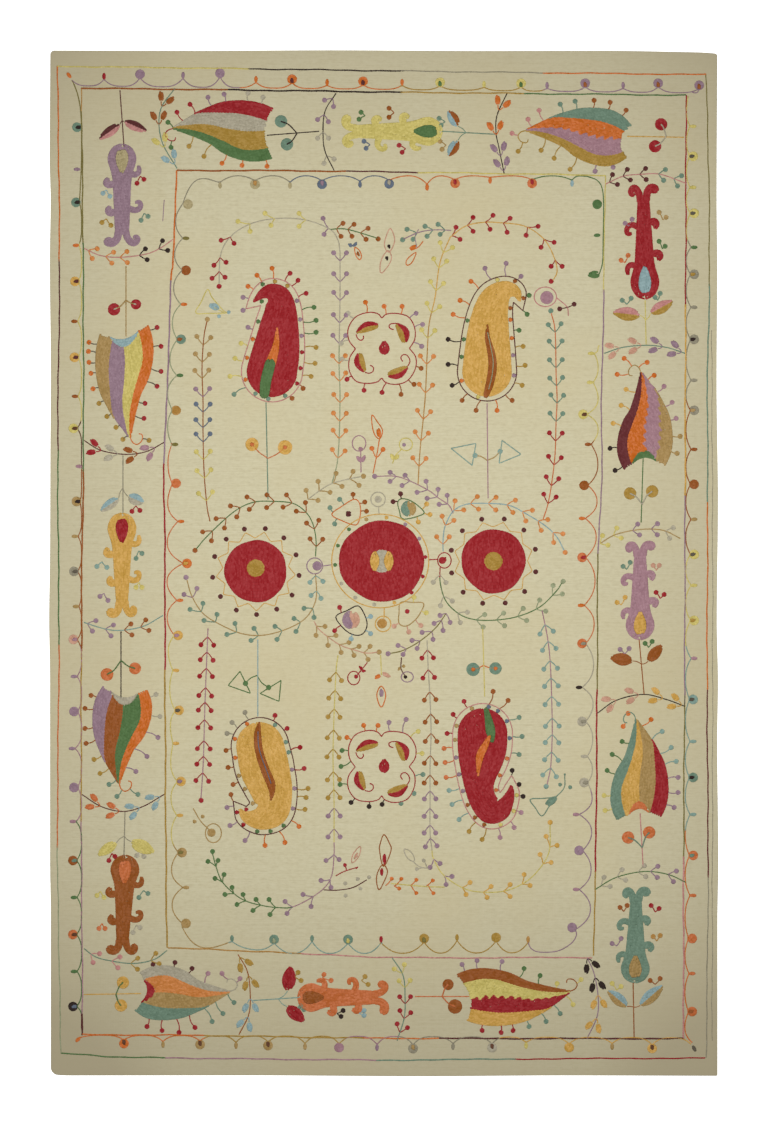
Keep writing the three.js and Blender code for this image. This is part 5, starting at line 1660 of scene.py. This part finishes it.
def weftGroup():
    # a weft faced weave: fine ribs across the rug, uneven handspun picks and a faint warp
    tree, n, given, out = newGroup("weftFace", [("Vector", "NodeSocketVector", None)],
                                   [("Height", "NodeSocketFloat"), ("Streak", "NodeSocketFloat"),
                                    ("Fleck", "NodeSocketFloat"), ("Grain", "NodeSocketFloat")])
    v = given["Vector"]
    parts = n.add("ShaderNodeSeparateXYZ", {"Vector": v})
    wobble = n.noise(v, 6.0, (1.0, 6.0, 1.0), detail=2.0)
    lineY = n.calc("ADD", parts.outputs["Y"], n.calc("MULTIPLY", wobble, 0.004))
    weft = n.calc("SINE", n.calc("MULTIPLY", lineY, 2 * math.pi / 0.0032))
    warp = n.calc("SINE", n.calc("MULTIPLY", parts.outputs["X"], 2 * math.pi / 0.0046))
    longStreak = n.noise(v, 1.0, (4.5, 300.0, 1.0), detail=3.0, rough=0.62)
    shortStreak = n.noise(v, 1.0, (38.0, 520.0, 1.0), detail=2.0, offset=(3.1, 7.7, 0))
    cloud = n.noise(v, 70.0, (1.0, 1.6, 1.0), detail=3.0, rough=0.65)
    streak = n.calc("ADD", n.calc("MULTIPLY", longStreak, 0.3), n.calc("MULTIPLY", shortStreak, 0.35))
    streak = n.calc("ADD", streak, n.calc("MULTIPLY", cloud, 0.35))
    slub = n.noise(v, 1.0, (60.0, 420.0, 1.0), detail=1.0, offset=(11.0, 2.0, 0))
    fleck = n.remap(slub, 0.70, 0.80)
    grain = n.noise(v, 1.0, (420.0, 700.0, 1.0), detail=1.0)
    height = n.calc("ADD", n.calc("MULTIPLY", weft, 0.35), n.calc("MULTIPLY", warp, 0.12))
    height = n.calc("ADD", height, n.calc("MULTIPLY", shortStreak, 0.8))
    n.put(out.inputs["Height"], n.calc("ADD", height, n.calc("MULTIPLY", grain, 0.5)))
    n.put(out.inputs["Streak"], streak)
    n.put(out.inputs["Fleck"], fleck)
    n.put(out.inputs["Grain"], grain)
    return tree


def newMaterial(name):
    material = bpy.data.materials.new(name)
    material.use_nodes = True
    material.node_tree.nodes.clear()
    n = Nodes(material.node_tree)
    shader = n.add("ShaderNodeBsdfPrincipled")
    n.put(n.add("ShaderNodeOutputMaterial").inputs["Surface"], shader.outputs["BSDF"])
    return material, n, shader


# the margin colour is painted shade of the light's falloff towards the edges, partly real soiling of the wool
groundLook = {
    "wool": (206, 198, 164), "dark": (192, 182, 147), "light": (214, 207, 176), "fleck": (158, 150, 124),
    "shadeAndSoil": (178, 167, 136), "warm": (205, 190, 146), "roughness": 0.92, "sheen": 0.0,
}


def groundMaterial(groups):
    material, n, shader = newMaterial("kilimWool")
    place = n.add("ShaderNodeTexCoord").outputs["Object"]
    weave = n.add("ShaderNodeGroup", node_tree=groups["weft"])
    n.put(weave.inputs["Vector"], place)
    streak, fleck, grain = (weave.outputs[k] for k in ("Streak", "Fleck", "Grain"))
    tone = n.blend(n.remap(streak, 0.36, 0.52), linear(groundLook["dark"]), linear(groundLook["wool"]))
    tone = n.blend(n.remap(streak, 0.52, 0.72), tone, linear(groundLook["light"]))
    patch = n.noise(place, 2.2, detail=3.0, offset=(5.0, 1.0, 0))
    tone = n.blend(n.calc("MULTIPLY", n.remap(patch, 0.45, 0.75), 0.5), tone, linear(groundLook["warm"]))
    tone = n.blend(n.calc("MULTIPLY", fleck, 0.55), tone, linear(groundLook["fleck"]))
    tone = n.blend(n.calc("MULTIPLY", n.remap(grain, 0.35, 0.7), 0.16), tone, linear(groundLook["dark"]))
    # painted shade: the light's falloff is painted darker towards the margins and corners, most at the foot
    # of the rug, mixed with some real dulling of the wool from handling
    parts = n.add("ShaderNodeSeparateXYZ", {"Vector": place})
    wide, tall = rugHigh[0], rugHigh[1]
    sideShadeAndWear = n.remap(n.calc("ABSOLUTE", parts.outputs["X"]), wide * 0.62, wide, 0.0, 0.34)
    topShadeAndWear = n.remap(parts.outputs["Y"], tall * 0.72, tall, 0.0, 0.38)
    footShadeAndWear = n.remap(n.calc("MULTIPLY", parts.outputs["Y"], -1.0), tall * 0.6, tall, 0.0, 0.62)
    endShadeAndWear = n.calc("MAXIMUM", topShadeAndWear, footShadeAndWear)
    cornerShadeAndWear = n.calc("MULTIPLY", n.calc("MULTIPLY", sideShadeAndWear, endShadeAndWear), 4.0)
    marginShadeAndWear = n.calc("MINIMUM", n.calc("ADD", n.calc("MAXIMUM", sideShadeAndWear, endShadeAndWear), cornerShadeAndWear), 1.0)
    tone = n.blend(marginShadeAndWear, tone, linear(groundLook["shadeAndSoil"]))
    n.put(shader.inputs["Base Color"], tone)
    shader.inputs["Roughness"].default_value = groundLook["roughness"]
    shader.inputs["Sheen Weight"].default_value = groundLook["sheen"]
    shader.inputs["Sheen Roughness"].default_value = 0.6
    bump = n.add("ShaderNodeBump", {"Height": weave.outputs["Height"], "Strength": 0.5, "Distance": 0.0005})
    n.put(shader.inputs["Normal"], bump.outputs[0])
    return material


def yarnMaterial(name, dye, groups):
    material, n, shader = newMaterial("yarn" + name[0].upper() + name[1:])
    place = n.add("ShaderNodeTexCoord").outputs["Object"]
    shade = n.add("ShaderNodeAttribute", attribute_name="shade").outputs["Fac"]
    heather = n.add("ShaderNodeGroup", node_tree=groups["heather"])
    n.put(heather.inputs["Vector"], place)
    n.put(heather.inputs["Dye"], linear(dye))
    n.put(heather.inputs["Stitch shade"], shade)
    n.put(shader.inputs["Base Color"], heather.outputs["Color"])
    shader.inputs["Roughness"].default_value = 0.85
    shader.inputs["Specular IOR Level"].default_value = 0.15
    shader.inputs["Sheen Weight"].default_value = 0.02
    shader.inputs["Sheen Roughness"].default_value = 0.5
    ply = n.add("ShaderNodeGroup", node_tree=groups["ply"])
    n.put(ply.inputs["Vector"], place)
    bump = n.add("ShaderNodeBump", {"Height": ply.outputs["Height"], "Strength": 0.35, "Distance": 0.0004})
    n.put(shader.inputs["Normal"], bump.outputs[0])
    return material


def pieceFromRows(name, tree, sockets, link, yarns):
    made = []
    for number, ((piece, yarn, kind, level), paths) in enumerate(sorted(rows.items(), key=lambda r: r[0])):
        if piece != name:
            continue
        curve = bpy.data.curves.new("threads", "CURVE")
        curve.dimensions = "3D"
        for path in paths:
            spline = curve.splines.new("POLY")
            spline.points.add(len(path) - 1)
            flat = toMetres(path)
            placed = np.column_stack([flat, np.zeros(len(flat)), np.ones(len(flat))])
            spline.points.foreach_set("co", placed.ravel())
        threads = bpy.data.objects.new("threads", curve)
        bpy.context.collection.objects.link(threads)
        modifier = threads.modifiers.new("chainStitch", "NODES")
        modifier.node_group = tree
        length, width = stitch["kinds"][kind]
        values = {"Link": link, "Stitch length": length * unit, "Stitch width": width * unit,
                  "Seed": number * 17 + 3, "Yarn": yarns[yarn]}
        for label, value in values.items():
            modifier[sockets[label]] = value
        graph = bpy.context.evaluated_depsgraph_get()
        mesh = bpy.data.meshes.new_from_object(threads.evaluated_get(graph), depsgraph=graph)
        bpy.data.objects.remove(threads)
        bpy.data.curves.remove(curve)
        place = np.empty(len(mesh.vertices) * 3)
        mesh.vertices.foreach_get("co", place)
        place = place.reshape(-1, 3)
        place[:, 2] += clothTop(place[:, 0], place[:, 1]) - stitch["sunk"] + level * stitch["overStep"]
        mesh.vertices.foreach_set("co", place.ravel())
        made.append(bpy.data.objects.new(name, mesh))
        bpy.context.collection.objects.link(made[-1])
    with bpy.context.temp_override(active_object=made[0], selected_editable_objects=made, object=made[0],
                                   selected_objects=made):
        bpy.ops.object.join()
    whole = made[0]
    whole.name = name
    flattenUv(whole)
    return whole


def flattenUv(whole):
    # the piece seen from above; its undersides share a narrow strip
    mesh = whole.data
    place = np.empty(len(mesh.vertices) * 3)
    mesh.vertices.foreach_get("co", place)
    place = place.reshape(-1, 3)
    corner = np.empty(len(mesh.loops), int)
    mesh.loops.foreach_get("vertex_index", corner)
    normal = np.empty(len(mesh.polygons) * 3)
    mesh.polygons.foreach_get("normal", normal)
    sides = np.empty(len(mesh.polygons), int)
    mesh.polygons.foreach_get("loop_total", sides)
    down = np.repeat(normal.reshape(-1, 3)[:, 2] < -0.5, sides)
    low, high = place.min(axis=0), place.max(axis=0)
    uv = (place[corner, :2] - low[:2]) / (high[:2] - low[:2])
    uv[:, 1] = np.where(down, 0.965 + uv[:, 1] * 0.03, uv[:, 1] * 0.95 + 0.005)
    layer = mesh.uv_layers.get("OFBake") or mesh.uv_layers.new(name="OFBake")
    layer.data.foreach_set("uv", uv.ravel())


# Stage

studio = {
    "lens": 85.0, "sensor": 36.0, "lampHeight": 3.3, "lampSize": 2.2, "lampPower": 90.0, "sky": 0.285,
    "floor": (0.93, 0.93, 0.93), "floorGlow": 0.75, "floorHalf": 12.0, "floorHeight": -0.0004,
}


def makeStage():
    mesh = bpy.data.meshes.new("floor")
    half, z = studio["floorHalf"], studio["floorHeight"]
    corners = [(-half, -half, z), (half, -half, z), (half, half, z), (-half, half, z)]
    mesh.from_pydata(corners, [], [(0, 1, 2, 3)])
    floor = bpy.data.objects.new("floor", mesh)
    bpy.context.collection.objects.link(floor)
    material, n, shader = newMaterial("paleFloor")
    shader.inputs["Base Color"].default_value = (*studio["floor"], 1)
    shader.inputs["Roughness"].default_value = 0.9
    shader.inputs["Emission Color"].default_value = (1, 1, 1, 1)
    shader.inputs["Emission Strength"].default_value = studio["floorGlow"]
    mesh.materials.append(material)
    world = bpy.data.worlds.new("studio")
    world.use_nodes = True
    sky = world.node_tree.nodes["Background"]
    sky.inputs["Color"].default_value = (1, 1, 1, 1)
    sky.inputs["Strength"].default_value = studio["sky"]
    bpy.context.scene.world = world
    lamp = bpy.data.lights.new("softbox", "AREA")
    lamp.shape = "DISK"
    lamp.size = studio["lampSize"]
    lamp.energy = studio["lampPower"]
    lampObject = bpy.data.objects.new("softbox", lamp)
    lampObject.location = (0.0, 0.2, studio["lampHeight"])
    lampObject.visible_camera = False
    bpy.context.collection.objects.link(lampObject)
    camera = bpy.data.cameras.new("camera")
    camera.lens = studio["lens"]
    camera.sensor_width = studio["sensor"]
    cameraObject = bpy.data.objects.new("camera", camera)
    seen = layout["imageHeight"] * unit
    cameraObject.location = (0.3 * unit, 0.2 * unit, seen * studio["lens"] / studio["sensor"])
    bpy.context.collection.objects.link(cameraObject)
    bpy.context.scene.camera = cameraObject
    bpy.context.scene.view_settings.view_transform = "Standard"


# Making the rug

sewFrames()
sewGuards()
for column in columns:
    sewColumn(*column)
for fan in fans:
    sewFan(fan)
sewCrossVines()
sewScallop()
sewFieldVines()
sewPaisleys()
sewQuatrefoils()
sewMedallions()
sewSprigs()
print("rows laid", sum(len(r) for r in rows.values()))

groups = {"heather": woolHeatherGroup(), "ply": yarnPlyGroup(), "weft": weftGroup()}
yarns = {name: yarnMaterial(name, dye, groups) for name, dye in dyes.items()}
link = chainLink()
bpy.context.collection.objects.link(link)
tree, sockets = chainStitchTree()
ground = makeCloth()
ground.data.materials.append(groundMaterial(groups))
embroidery = []
for name in sorted({key[0] for key in rows}):
    embroidery.append(pieceFromRows(name, tree, sockets, link, yarns))
    print("stitched", name, len(embroidery[-1].data.polygons), "faces")
bpy.data.objects.remove(link)

makeStage()
for piece in [ground] + embroidery:
    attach(piece, "root")
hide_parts("rug")
